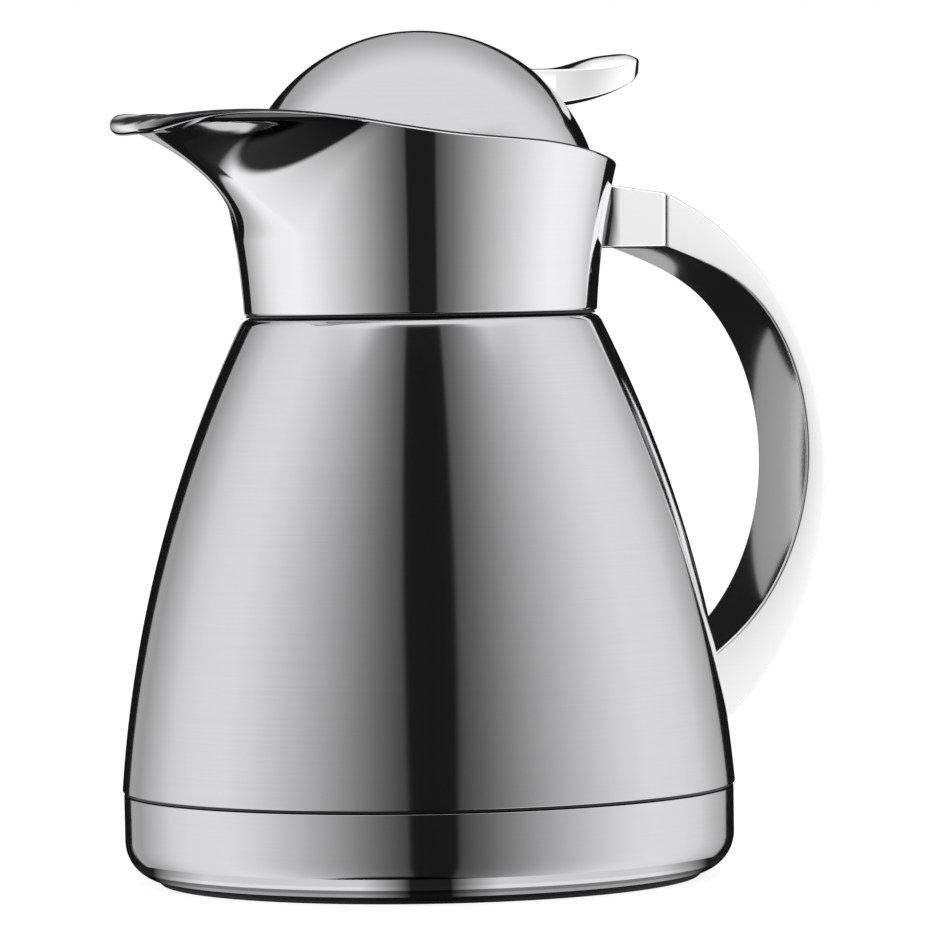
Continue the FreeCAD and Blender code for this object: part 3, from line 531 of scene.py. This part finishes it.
def moulded(name, tone, rough, grain, bump):
    material, tree, shader, where = startMaterial(name)
    cloudy = useGroup(tree, handling, where, **mottle)
    tint = vectorMaths(tree, "MULTIPLY", tone, cloudy["Value"])[0]
    wiped = useGroup(tree, handling, where, Low=rough[0], High=rough[1])["Value"]
    pores = useGroup(tree, fineGrain, where, Scale=grain)
    applyFinish(tree, shader, tint, wiped, pores["Height"], bump, grainDepth)
    return material


steels = {
    "satin_steel": {"name": "satinSteel", "tone": (0.58, 0.58, 0.59), "rough": (0.07, 0.09),
                    "lines": 2600.0, "streak": 0.05, "bump": 0.06},
    "base_steel": {"name": "baseSteel", "tone": (0.60, 0.60, 0.61), "rough": (0.07, 0.09),
                   "lines": 2600.0, "streak": 0.05, "bump": 0.06},
    # The collar's steel carries the painted rim shade
    "collar_steel": {"name": "collarSteel", "tone": (0.74, 0.74, 0.75), "rough": (0.045, 0.06),
                     "lines": 2800.0, "streak": 0.03, "bump": 0.03, "rimPaintedShade": True},
    "dome_steel": {"name": "domeSteel", "tone": (0.58, 0.58, 0.59), "rough": (0.08, 0.1),
                   "lines": 2800.0, "streak": 0.04, "bump": 0.05},
    "handle_steel": {"name": "handleSteel", "tone": (0.975, 0.975, 0.98), "rough": (0.07, 0.10),
                     "lines": 900.0, "streak": 0.02, "bump": 0.05},
    "lever_steel": {"name": "leverSteel", "tone": (0.975, 0.975, 0.98), "rough": (0.06, 0.09),
                    "lines": 900.0, "streak": 0.02, "bump": 0.05},
    "screw_steel": {"name": "screwSteel", "tone": (0.62, 0.62, 0.62), "rough": (0.22, 0.3),
                    "lines": 1500.0, "streak": 0.1, "bump": 0.2},
    "spring_steel": {"name": "springSteel", "tone": (0.5, 0.5, 0.51), "rough": (0.2, 0.28),
                     "lines": 1500.0, "streak": 0.1, "bump": 0.2},
    "silvered_glass": {"name": "silveredGlass", "tone": (0.86, 0.87, 0.88), "rough": (0.03, 0.05),
                       "lines": 300.0, "streak": 0.02, "bump": 0.02},
}
mouldings = {
    "black_plastic": {"name": "blackPlastic", "tone": (0.015, 0.015, 0.016), "rough": (0.32, 0.42),
                      "grain": 1800.0, "bump": 0.15},
    "soft_black": {"name": "softBlack", "tone": (0.022, 0.022, 0.022), "rough": (0.55, 0.7),
                   "grain": 1200.0, "bump": 0.2},
    "silicone": {"name": "silicone", "tone": (0.55, 0.55, 0.54), "rough": (0.4, 0.5),
                 "grain": 1500.0, "bump": 0.1},
    "foam": {"name": "foam", "tone": (0.75, 0.74, 0.70), "rough": (0.8, 0.95),
             "grain": 700.0, "bump": 0.5},
}
finishes = {slot: steel(**values) for slot, values in steels.items()}
finishes.update({slot: moulded(**values) for slot, values in mouldings.items()})
print("finishes made:", len(finishes))


# Shape tools, in millimetres

def meshFromGrid(name, points, loopRows=False, closeEnds=False):
    # Rows run along the shape, columns round it: quads join neighbours and fans close the ends
    rows, columns = points.shape[:2]
    index = np.arange(rows * columns).reshape(rows, columns)
    ahead = np.roll(index, -1, axis=1)
    above = np.roll(index, -1, axis=0)
    quads = np.stack([index, ahead, np.roll(above, -1, axis=1), above], axis=-1)
    quads = (quads if loopRows else quads[:-1]).reshape(-1, 4)
    vertices = points.reshape(-1, 3)
    fans = []
    if closeEnds:
        for ring, following in ((ahead[0], index[0]), (index[-1], ahead[-1])):
            hub = np.full(columns, len(vertices))
            vertices = np.vstack([vertices, vertices[ring].mean(axis=0)])
            fans.append(np.stack([ring, following, hub], axis=1))
    triangles = np.vstack([quads[:, [0, 1, 2]], quads[:, [0, 2, 3]]] + fans)
    corners = vertices[triangles]
    volume = np.einsum("ij,ij->", corners[:, 0], np.cross(corners[:, 1], corners[:, 2]))
    if volume < 0:
        quads = quads[:, ::-1]
        fans = [fan[:, ::-1] for fan in fans]
    faces = quads.tolist() + [face for fan in fans for face in fan.tolist()]
    data = bpy.data.meshes.new(name)
    data.from_pydata((vertices * mm).tolist(), [], faces)
    data.polygons.foreach_set("use_smooth", np.ones(len(faces), dtype=bool))
    data.update()
    piece = bpy.data.objects.new(name, data)
    bpy.context.collection.objects.link(piece)
    return piece


def fit(piece, body, slot, *nodes):
    piece.data.materials.append(finishes[slot])
    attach(piece, body)
    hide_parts(*nodes)
    print("made", piece.name, "with", len(piece.data.polygons), "faces")


def unit(vectors):
    return vectors / np.linalg.norm(vectors, axis=-1, keepdims=True)


def runAlong(points):
    # Distance from the first point to each point, measured from point to point
    return np.append(0, np.cumsum(np.linalg.norm(np.diff(points, axis=0), axis=1)))


def roundCorners(outline, radii, steps=7):
    # Every corner becomes an arc tangent to both of its sides; a corner of radius 0 stays a point
    outline = np.asarray(outline, dtype=float)
    radii = np.broadcast_to(np.asarray(radii, dtype=float), outline.shape[:-1])
    straight, tiny = 0.9999999, 1e-12
    back = unit(np.roll(outline, 1, axis=-2) - outline)
    onward = unit(np.roll(outline, -1, axis=-2) - outline)
    half = np.arccos(np.clip((back * onward).sum(axis=-1), -straight, straight)) / 2
    centre = outline + unit(back + onward + tiny) * (radii / np.sin(half))[..., None]
    reach = (radii / np.tan(half))[..., None]
    start = outline + back * reach - centre
    end = outline + onward * reach - centre
    turn = (np.pi - 2 * half)[..., None]
    share = np.linspace(0, 1, steps)
    first = (np.sin((1 - share) * turn) / np.sin(turn))[..., None]
    last = (np.sin(share * turn) / np.sin(turn))[..., None]
    arcs = centre[..., None, :] + first * start[..., None, :] + last * end[..., None, :]
    plain = radii.reshape(-1, radii.shape[-1]).max(axis=0) == 0
    arcs[..., plain, 0, :] = outline[..., plain, :]
    keep = np.ones((outline.shape[-2], steps), dtype=bool)
    keep[plain, 1:] = False
    return arcs[..., keep, :]


def turned(name, outline, columns=256, loop=True):
    # Outline of (radius, height) carried round the axis
    angle = np.linspace(0, 2 * np.pi, columns, endpoint=False)
    radius = outline[:, 0][:, None]
    height = np.broadcast_to(outline[:, 1][:, None], (len(outline), columns))
    points = np.stack([radius * np.cos(angle), radius * np.sin(angle), height], axis=-1)
    return meshFromGrid(name, points, loop, not loop)


def smoothLine(places, values, at):
    # Natural cubic through (place, value) pairs
    places = np.asarray(places, dtype=float)
    values = np.asarray(values, dtype=float)
    gap = np.diff(places)
    count = len(places)
    inner = np.arange(1, count - 1)
    matrix = np.eye(count)
    matrix[inner, inner - 1] = gap[:-1]
    matrix[inner, inner] = 2 * (gap[:-1] + gap[1:])
    matrix[inner, inner + 1] = gap[1:]
    load = np.zeros_like(values)
    load[1:-1] = 6 * np.diff((np.diff(values, axis=0).T / gap).T, axis=0)
    bend = np.linalg.solve(matrix, load)
    span = np.clip(np.searchsorted(places, at) - 1, 0, count - 2)
    step = gap[span]
    past = np.asarray(at) - places[span]
    left = places[span + 1] - np.asarray(at)
    if values.ndim > 1:
        step, past, left = step[..., None], past[..., None], left[..., None]
    curved = (bend[span] * left**3 + bend[span + 1] * past**3) / (6 * step)
    near = (values[span] / step - bend[span] * step / 6) * left
    far = (values[span + 1] / step - bend[span + 1] * step / 6) * past
    return curved + near + far


# Body shell

bodyShape = {
    "baseRadius": 78.5,
    "neckRadius": 45.4,
    "bulge": 5.9,
    "low": 23.7,
    "high": 144.05,
    "sheet": 0.8,
    "neckBore": 38.0,
    "shoulder": 3.5,
    "shoulderInside": 1.9,
    "shoulderRun": 3.0,
    "edge": 0.35,
    "mouthEdge": 0.2,
    "rowsOutside": 70,
    "rowsInside": 40,
}


def wallRadius(height, inset=0.0):
    # Arc through the wall's two ends, bulging outwards
    shape = bodyShape
    run = shape["neckRadius"] - shape["baseRadius"]
    rise = shape["high"] - shape["low"]
    chord = math.hypot(run, rise)
    radius = chord * chord / (8 * shape["bulge"]) + shape["bulge"] / 2
    back = radius - shape["bulge"]
    centreOut = (shape["baseRadius"] + shape["neckRadius"]) / 2 - back * rise / chord
    centreUp = (shape["low"] + shape["high"]) / 2 + back * run / chord
    return centreOut + np.sqrt((radius - inset) ** 2 - (height - centreUp) ** 2)


def makeBodyShell(shape):
    # Wall arc up to a rounded shoulder, in to the neck, and back down inside the sheet
    low, high, sheet = shape["low"], shape["high"], shape["sheet"]
    arcEnd = high - shape["shoulderRun"]
    rising = np.append(np.linspace(low, arcEnd, shape["rowsOutside"]), high)
    falling = np.append(high - sheet, np.linspace(arcEnd, low, shape["rowsInside"]))
    outer = np.stack([wallRadius(rising), rising], axis=1)
    inner = np.stack([wallRadius(falling, sheet), falling], axis=1)
    mouth = np.array([(shape["neckBore"], high), (shape["neckBore"], high - sheet)])
    outline = np.vstack([outer, mouth, inner])
    mouthAt = len(outer)
    radii = np.zeros(len(outline))
    radii[[0, -1]] = shape["edge"]
    radii[mouthAt - 1] = shape["shoulder"]
    radii[[mouthAt, mouthAt + 1]] = shape["mouthEdge"]
    radii[mouthAt + 2] = shape["shoulderInside"]
    return turned("bodyShell", roundCorners(outline, radii, 9))


fit(makeBodyShell(bodyShape), "jug", "satin_steel", "outer_shell")


# Base cap

baseShape = {
    "radius": 78.1,
    "low": 1.0,
    "high": 22.9,
    "corner": 10.0,
    "taper": 0.1,
    "sheet": 0.8,
    "edge": 0.35,
    "dishRadius": 53.3,
    "dishSlope": 5.0,
    "dishRise": 3.0,
    "dishRound": 3.0,
    "dishRoundInside": 2.4,
    "dishShift": 0.4,
    "hub": 0.5,
}


def makeBaseCap(shape):
    # Dished floor, rounded corner and a wall that ends at the seam, then back inside the sheet
    low, high, sheet, edge, hub = [shape[key] for key in ("low", "high", "sheet", "edge", "hub")]
    dish, shift, inside = shape["dishRadius"], shape["dishShift"], shape["dishRoundInside"]
    rise = low + shape["dishRise"]
    slope = dish + shape["dishSlope"]
    foot = shape["radius"] - shape["taper"]
    outline = np.array([
        (hub, rise, 0),
        (dish, rise, shape["dishRound"]),
        (slope, low, shape["dishRound"]),
        (foot, low, shape["corner"]),
        (shape["radius"], high, edge),
        (shape["radius"] - sheet, high, edge),
        (foot - sheet, low + sheet, shape["corner"] - sheet),
        (slope + shift, low + sheet, inside),
        (dish + shift, rise + sheet, inside),
        (hub, rise + sheet, 0),
    ])
    return turned("baseCap", roundCorners(outline[:, :2], outline[:, 2], 13), loop=False)


fit(makeBaseCap(baseShape), "jug", "base_steel", "base_cap")


# Collar with its drawn spout and rolled lip

collarShape = {
    "sheet": 0.9,
    "footRadius": 45.2,
    "rimRadius": 50.4,
    "lean": 0.05,
    "low": 144.75,
    "rimBack": 180.5,
    "neckBore": 38.0,
    "edge": 0.8,
    "spoutRoot": 164.0,
    "spoutTip": 193.4,
    "flare": 24.1,
    "flarePower": 1.5,
    "lip": 8.4,
    "lipPower": 6,
    "least": 0.05,
    "limit": 33.6,
    "limitSoft": 0.8,
    "nose": 8.0,
    "sharpening": 3.6,
    "roll": 2.7,
    "rollDrop": 1.9,
    "rollFade": 19.0,
    "rollTrim": 0.04,
    "rollTuck": 0.02,
    # Where the painted shade begins up the rolled edge, along the rim and at the spout's tip, and how softly
    "paintedShadeRim": 0.2,
    "paintedShadeTip": 0.93,
    "paintedShadeFade": 0.05,
    "rimLine": [(-96.0, 11.2), (-86.0, 12.8), (-72.0, 15.2), (-45.0, 14.2), (-20.0, 9.5), (10.0, 6.7),
                (32.0, 3.3), (56.0, -0.9)],
    "rimPasses": 40,
    "columns": 360,
    "crowding": 1.7,
    "wallRows": 80,
    "wallCrowding": 0.8,
    "rollRows": 26,
    "edgeRows": 6,
}


def collarRadius(height):
    # Wall away from the spout: a lean with a growing flare
    shape = collarShape
    rise = height - shape["low"]
    full = shape["rimBack"] - shape["low"]
    flare = (shape["rimRadius"] - shape["footRadius"] - shape["lean"] * full) / full**2
    return shape["footRadius"] + shape["lean"] * rise + flare * rise**2


def collarPoint(angle, height):
    # Level section: round wall, flat flanks tangent to it, and a round nose at the end of the spout
    shape = collarShape
    steepest = 1.5
    radius = collarRadius(height)
    rise = np.maximum(height - shape["spoutRoot"], 0) / (shape["spoutTip"] - shape["spoutRoot"])
    flare = shape["flare"] * rise ** shape["flarePower"]
    free = flare + shape["lip"] * rise ** shape["lipPower"] + shape["least"]
    limit, soft = shape["limit"], shape["limitSoft"]
    stand = limit - soft * np.log1p(np.exp((limit - free) / soft))
    nose = shape["nose"] + (radius - shape["nose"]) * np.exp(-stand / shape["sharpening"])
    centre = radius + stand - nose
    lean = np.arccos(np.clip((radius - nose) / centre, -1, 1))
    noseTurn = np.arctan2(nose * np.sin(lean), centre + nose * np.cos(lean))
    turn = np.abs(angle)
    flank = radius / np.cos(np.minimum(lean - turn, steepest))
    tip = centre * np.cos(turn) + np.sqrt(np.maximum(nose**2 - (centre * np.sin(turn)) ** 2, 0))
    reach = np.where(turn >= lean, radius, np.where(turn > noseTurn, flank, tip))
    height = np.broadcast_to(height, reach.shape)
    return np.stack([-reach * np.cos(angle), reach * np.sin(angle), height], axis=-1)


def levelOutward(angle):
    return np.stack([-np.cos(angle), np.sin(angle), np.zeros_like(angle)], axis=-1)


def collarNormal(angle, height):
    # Outward normal from small steps round and up the wall
    aside, above = 0.002, 0.02
    around = collarPoint(angle + aside, height) - collarPoint(angle - aside, height)
    upward = collarPoint(angle, height + above) - collarPoint(angle, height - above)
    normal = unit(np.cross(upward, around))
    return normal * np.sign((normal * levelOutward(angle)).sum(axis=-1, keepdims=True))


def collarRim(shape, angle):
    # Height of the rim at each angle: the rim line gives it for how far back that puts the rim, so it repeats
    line = np.array(shape["rimLine"])
    rim = np.full(len(angle), shape["rimBack"])
    for again in range(shape["rimPasses"]):
        rim = shape["rimBack"] + smoothLine(line[:, 0], line[:, 1], collarPoint(angle, rim)[:, 0])
    return rim


def rolledEdge(shape, angle):
    # Round edge along the rim that swells to the lip's bead as it nears the tip of the spout, with a mask of
    # painted shade over its top
    rim = collarRim(shape, angle)
    half = shape["sheet"] / 2
    edge = collarPoint(angle, rim)
    normal = collarNormal(angle, rim)
    along = unit(np.roll(edge, -1, axis=0) - np.roll(edge, 1, axis=0))
    upward = unit(np.cross(along, normal))
    upward *= np.sign(upward[:, 2:])
    run = runAlong(edge)
    fade = np.exp(-(((run - run[len(angle) // 2]) / shape["rollFade"]) ** 2))
    roll = half + (shape["roll"] - half) * fade
    drop = half * (1 - fade) + shape["rollDrop"] * fade
    middle = edge - normal * half - upward * drop[:, None]
    top = middle[:, 2] - np.sqrt(roll**2 - half**2) * upward[:, 2] - shape["rollTuck"]
    start = np.arccos(half / roll)
    share = np.linspace(shape["rollTrim"], 1 - shape["rollTrim"], shape["rollRows"])[:, None]
    swing = -start + (np.pi + 2 * start) * share
    lip = middle + roll[:, None] * (np.cos(swing)[..., None] * normal + np.sin(swing)[..., None] * upward)
    # Painted shade: a strip over the top of the rolled edge, wide along the rim and narrowing to the bead's
    # top near the spout's tip
    paintedShadeStart = shape["paintedShadeRim"] + (shape["paintedShadeTip"] - shape["paintedShadeRim"]) * fade
    lipPaintedShade = np.clip((np.sin(swing) - paintedShadeStart) / shape["paintedShadeFade"], 0, 1)
    return top, lip, lipPaintedShade


def makeCollar(shape):
    # Outer wall up to the rim, round the rolled edge, down the inner wall and across the floor
    columns, low, sheet, bend = [shape[key] for key in ("columns", "low", "sheet", "edge")]
    spread = (np.arange(columns) - columns / 2) / (columns / 2)
    angle = np.pi * np.sign(spread) * np.abs(spread) ** shape["crowding"]
    top, lip, lipPaintedShade = rolledEdge(shape, angle)
    share = np.linspace(0, 1, shape["wallRows"])[:, None] ** shape["wallCrowding"]
    heights = low + bend + (top - low - bend) * share
    outer = collarPoint(np.broadcast_to(angle, heights.shape), heights)
    innerHeights = low + sheet + (top - low - sheet) * share[::-2]
    innerAngles = np.broadcast_to(angle, innerHeights.shape)
    inner = collarPoint(innerAngles, innerHeights) - collarNormal(innerAngles, innerHeights) * sheet

    tuck = np.linspace(np.pi / 2, 0, shape["edgeRows"])[:-1, None, None]
    foot = collarPoint(angle, np.full(columns, low + bend))
    outward = levelOutward(angle)
    upright = np.array([0.0, 0.0, 1.0])
    bottom = foot - outward * bend * (1 - np.cos(tuck)) - upright * bend * np.sin(tuck)
    bore = outward * shape["neckBore"]
    floor = np.stack([bore + upright * (low + sheet), bore + upright * low])
    rows = [bottom, outer, lip, inner, floor]
    piece = meshFromGrid("collarAndSpout", np.concatenate(rows), loopRows=True)
    # The lip's painted shade is stored as a point attribute that the collar's steel reads
    marks = np.concatenate([lipPaintedShade if band is lip else np.zeros(band.shape[:2]) for band in rows])
    piece.data.attributes.new("rimPaintedShade", "FLOAT", "POINT").data.foreach_set("value", marks.ravel())
    return piece


fit(makeCollar(collarShape), "jug", "collar_steel", "collar")


# Dark seam between the body and the collar

seamShape = {"inner": 38.3, "outer": 44.7, "low": 144.1, "high": 144.7, "round": 0.15}


def makeNeckSeam(shape):
    # Flat ring with rounded corners
    low, high = shape["low"], shape["high"]
    outline = [(shape["inner"], low), (shape["outer"], low), (shape["outer"], high), (shape["inner"], high)]
    return turned("neckSeam", roundCorners(outline, shape["round"], 4))


fit(makeNeckSeam(seamShape), "jug", "soft_black", "neck_gasket")


# Lid dome

domeShape = {
    "radius": 46.7,
    "centre": 170.1,
    "edge": 180.5,
    "sheet": 0.8,
    "round": 0.3,
    "pole": 0.012,
    "rowsOutside": 70,
    "rowsInside": 50,
}


def makeLidDome(shape):
    # Part of a ball from its top to a level edge, then back up inside the sheet
    def arc(radius, count):
        lowest = math.acos((shape["edge"] - shape["centre"]) / radius)
        tilt = np.linspace(shape["pole"], lowest, count)
        return np.stack([radius * np.sin(tilt), shape["centre"] + radius * np.cos(tilt)], axis=1)

    outer = arc(shape["radius"], shape["rowsOutside"])
    inner = arc(shape["radius"] - shape["sheet"], shape["rowsInside"])[::-1]
    outline = np.vstack([outer, inner])
    radii = np.zeros(len(outline))
    radii[[len(outer) - 1, len(outer)]] = shape["round"]
    return turned("lidDome", roundCorners(outline, radii, 6), loop=False)


fit(makeLidDome(domeShape), "lid", "dome_steel", "lid_dome")


# Handle and its bracket

handleShape = {
    "seam": 66.1,
    "top": 174.6,
    "under": 160.6,
    "reach": 115.8,
    "middle": 100.4,
    "footLow": 31.6,
    "footHigh": 50.3,
    "gripLift": 4.8,
    "grip": 5.7,
    "shoulderHigh": 8.0,
    "shoulderLow": 14.4,
    "shoulderShare": 0.776,
    "widthTop": 28.6,
    "widthFoot": 19.4,
    "pad": 0.6,
    "edge": 0.8,
    "edgeSteps": 8,
    "rows": 180,
    "bracketEnd": 65.7,
    "bracketStart": 52.0,
    "bracketRoot": 48.5,
    "bracketRows": 12,
    "seamRound": 0.15,
    "seamSteps": 5,
    "bracketRise": 2.4,
    "bracketGap": 0.5,
    "screwHeight": 165.8,
}


def handleHalfWidth(height):
    # Width goes evenly from the foot's to the top's
    shape = handleShape
    share = (height - shape["footLow"]) / (shape["top"] - shape["footLow"])
    return (shape["widthFoot"] + (shape["widthTop"] - shape["widthFoot"]) * share) / 2


def circleThrough(points):
    # Centre and radius of the circle through three points
    points = np.array(points)
    answer = np.linalg.solve(np.hstack([2 * points, np.ones((3, 1))]), (points**2).sum(axis=1))
    return answer[:2], math.sqrt(answer[2] + answer[0] ** 2 + answer[1] ** 2)


def barSection(shape, inner, outer, shrink=0.0):
    # Rounded rectangle between an inner and an outer point of the side view, its width by height
    edge, steps = shape["edge"], shape["edgeSteps"]
    thick = np.linalg.norm(outer - inner, axis=-1)[..., None]
    across = (outer - inner) / thick
    side = np.repeat([1, 1, -1, -1], steps)
    face = np.repeat([1, -1, -1, 1], steps)
    starts = (np.pi / 2, 0, -np.pi / 2, np.pi)
    turn = np.concatenate([np.linspace(start, start - np.pi / 2, steps) for start in starts])
    depth = face * (thick / 2 - shrink - edge) + edge * np.sin(turn)
    middle = (inner + outer) / 2
    x = middle[..., :1] + across[..., :1] * depth
    z = middle[..., 1:] + across[..., 1:] * depth
    y = side * (handleHalfWidth(z) - shrink - edge) + edge * np.cos(turn)
    return np.stack([x, y, z], axis=-1)


def makeHandle(shape):
    # Outer arc and inner curve of the side view, joined by rounded sections
    seam, rows, fillet = shape["seam"], shape["rows"], shape["seamRound"]
    foot = (wallRadius(shape["footLow"]), shape["footLow"])
    ends = [(seam, shape["top"]), (shape["reach"], shape["middle"]), foot]
    centre, radius = circleThrough(ends)
    first = math.atan2(ends[0][1] - centre[1], ends[0][0] - centre[0])
    last = math.atan2(ends[2][1] - centre[1], ends[2][0] - centre[0])
    sweep = np.linspace(first, last, rows)
    outer = centre + radius * np.stack([np.cos(sweep), np.sin(sweep)], axis=1)

    def underArc(height, thickness):
        return (centre[0] + math.sqrt(radius**2 - (height - centre[1]) ** 2) - thickness, height)

    gripUp = shape["middle"] + shape["gripLift"]
    high = gripUp + (shape["under"] - gripUp) * shape["shoulderShare"]
    low = gripUp - (gripUp - shape["footHigh"]) * shape["shoulderShare"]
    knots = np.array([
        (seam, shape["under"]),
        underArc(high, shape["shoulderHigh"]),
        underArc(gripUp, shape["grip"]),
        underArc(low, shape["shoulderLow"]),
        (wallRadius(shape["footHigh"]), shape["footHigh"]),
    ])
    run = runAlong(knots)
    inner = smoothLine(run, knots, np.linspace(0, run[-1], rows))
    bar = barSection(shape, inner, outer)
    bar[-1, :, 0] = np.sqrt((wallRadius(bar[-1, :, 2]) + shape["pad"]) ** 2 - bar[-1, :, 1] ** 2)
    sections = []
    for turn in np.linspace(0, np.pi / 2, shape["seamSteps"])[:-1]:
        ring = barSection(shape, inner[:1], outer[:1], fillet * (1 - math.sin(turn)))
        ring[..., 0] = seam + fillet * (1 - math.cos(turn))
        sections.append(ring)
    return meshFromGrid("crescentHandle", np.concatenate(sections + [bar[1:]]), closeEnds=True)


def makeBracket(shape):
    # Block from the collar's wall to the seam, its top sloping up towards the collar
    end, fillet = shape["bracketEnd"], shape["seamRound"]
    slope = shape["bracketRise"] / (end - collarRadius(shape["screwHeight"]))

    def ring(out, shrink=0.0):
        inner = np.array([[out, shape["under"]]])
        outer = np.array([[out, shape["top"] + slope * (end - out)]])
        return barSection(shape, inner, outer, shrink)

    root = ring(shape["bracketRoot"])
    root[..., 0] = np.sqrt((collarRadius(root[..., 2]) + shape["bracketGap"]) ** 2 - root[..., 1] ** 2)
    places = np.linspace(shape["bracketStart"], end - fillet, shape["bracketRows"])
    sections = [root] + [ring(out) for out in places]
    for turn in np.linspace(0, np.pi / 2, shape["seamSteps"])[1:]:
        last = ring(end, fillet * (1 - math.cos(turn)))
        last[..., 0] = end - fillet * (1 - math.sin(turn))
        sections.append(last)
    return meshFromGrid("handleBracket", np.concatenate(sections), closeEnds=True)


fit(makeHandle(handleShape), "jug", "handle_steel", "handle")
fit(makeBracket(handleShape), "jug", "handle_steel", "handle_bracket")


# Thumb lever and its plate on the dome

leverShape = {
    "angle": 47.5,
    "round": 0.7,
    "roundShare": 0.3,
    "footLift": 0.14,
    "footWidth": 0.82,
    "rows": 90,
    "lift": 0.05,
    "plateThickness": 1.3,
    "plateLength": 20.4,
    "plateWidth": 16.8,
    "plateFlat": 0.9,
    "plateHub": 0.02,
    "plateUnder": 0.97,
    "plateColumns": 96,
    "sections": [   # along, underside, edge, crown, half width
        (-4.4, -6.0, 5.0, 5.6, 6.0),
        (9.6, -4.1, 5.1, 6.2, 6.2),
        (17.6, -2.5, 5.3, 8.3, 6.9),
        (24.6, -0.1, 6.5, 9.2, 6.9),
        (28.6, 2.0, 7.5, 9.2, 5.6),
        (30.6, 3.5, 7.7, 8.6, 3.4),
    ],
}


def makeLever(shape, dome):
    # Sections along the lever, crowned on top and rounded below, its root lying on the dome's plate
    table = np.array(shape["sections"])
    out = np.linspace(table[0, 0], table[-1, 0], shape["rows"])
    under, edge, crown, half = smoothLine(table[:, 0], table[:, 1:], out).T[..., None]
    lean = math.radians(shape["angle"])
    seatOut = dome["radius"] * math.sin(lean)
    seatUp = dome["centre"] + dome["radius"] * math.cos(lean)
    top = np.array([-0.75, -0.5, -0.25, 0, 0.25, 0.5, 0.75])
    belly = np.array([0.5, 0.25, 0, -0.25, -0.5])
    foot = under + (edge - under) * shape["footLift"]
    narrow = half * shape["footWidth"]
    arched = edge + (crown - edge) * (1 - top**2)
    hollow = under + (foot - under) * belly**2
    y = np.hstack([-half, half * top, half, narrow, narrow * belly, -narrow])
    z = np.hstack([edge, arched, edge, foot, hollow, foot])
    small = np.minimum(shape["round"], shape["roundShare"] * (edge - under))
    plain = np.zeros((len(out), 1))
    radii = np.hstack([small] + [plain] * len(top) + [small, small] + [plain] * len(belly) + [small])
    loops = roundCorners(np.stack([y, z], axis=-1), radii, 6)
    x = np.broadcast_to(seatOut + out[:, None], loops.shape[:2])
    points = np.stack([x, loops[..., 0], seatUp + loops[..., 1]], axis=-1)
    clear = dome["radius"] + shape["plateThickness"] + shape["lift"]
    ball = clear**2 - points[..., 1] ** 2 - (points[..., 2] - dome["centre"]) ** 2
    points[..., 0] = np.maximum(points[..., 0], np.sqrt(np.maximum(ball, 0)))
    return meshFromGrid("thumbLever", points, closeEnds=True)


def makeLeverPlate(shape, dome):
    # Oval patch of the dome, lifted by its thickness and rounded at its rim
    lean = math.radians(shape["angle"])
    ahead = np.array([math.sin(lean), 0, math.cos(lean)])
    along = np.array([math.cos(lean), 0, -math.sin(lean)])
    sideways = np.array([0, 1, 0])
    flat, hub = shape["plateFlat"], shape["plateHub"]
    rim = 1 - flat
    back = np.linspace(shape["plateUnder"], hub, 6)
    share = np.append(np.linspace(hub, flat, 14), flat + rim * np.sin(np.linspace(0, np.pi / 2, 9)[1:]))
    past = np.maximum(share - flat, 0) / rim
    rise = shape["plateThickness"] * np.sqrt(np.clip(1 - past**2, 0, 1))
    lift = np.maximum(np.append(rise, np.zeros(len(back))), shape["lift"])[:, None]
    share = np.append(share, back)[:, None]
    angle = np.linspace(0, 2 * np.pi, shape["plateColumns"], endpoint=False)
    u = share * np.cos(angle) * shape["plateLength"] / 2
    v = share * np.sin(angle) * shape["plateWidth"] / 2
    w = np.sqrt((dome["radius"] + lift) ** 2 - u**2 - v**2)
    points = u[..., None] * along + v[..., None] * sideways + w[..., None] * ahead
    points[..., 2] += dome["centre"]
    return meshFromGrid("leverPlate", points, closeEnds=True)


fit(makeLever(leverShape, domeShape), "lid", "lever_steel", "thumb_lever")
fit(makeLeverPlate(leverShape, domeShape), "lid", "lever_steel", "lever_plate")


# Spring over the lid's floating seal, made at the length of the spring part

springShape = {"radius": 4.6, "wire": 0.8, "turns": 5, "travel": 1.5, "steps": 40, "columns": 12}


def makePlateSpring(shape, low, high):
    # Round wire carried along a helix from the seal's plate to its seat in the lid
    half = shape["wire"] / 2
    share = np.linspace(0, 1, shape["steps"] * shape["turns"])
    angle = 2 * np.pi * shape["turns"] * share
    level = np.zeros_like(share)
    outward = np.stack([np.cos(angle), np.sin(angle), level], axis=1)
    height = low + half + (high - low - 2 * half) * share
    middle = outward * shape["radius"] + np.stack([level, level, height], axis=1)
    upward = unit(np.cross(outward, np.gradient(middle, axis=0)))
    turn = np.linspace(0, 2 * np.pi, shape["columns"], endpoint=False)[:, None]
    points = middle[:, None] + half * (np.cos(turn) * outward[:, None] + np.sin(turn) * upward[:, None])
    return meshFromGrid("plateSpring", points, closeEnds=True)


springLow, springHigh = [corner[2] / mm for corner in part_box("plate_spring")]
plateSpring = makePlateSpring(springShape, springLow, springHigh)
fit(plateSpring, "lid", "spring_steel", "plate_spring")
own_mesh(plateSpring)


# Pieces that stay as the CAD part made them

def dressFrame(nodes):
    for part in frame["record"]["subparts"]:
        for place in nodes[part["node"]].material_slots:
            place.material = finishes[part["material_slot"]]


dressFrame(frame["nodes"])
print("frame dressed")
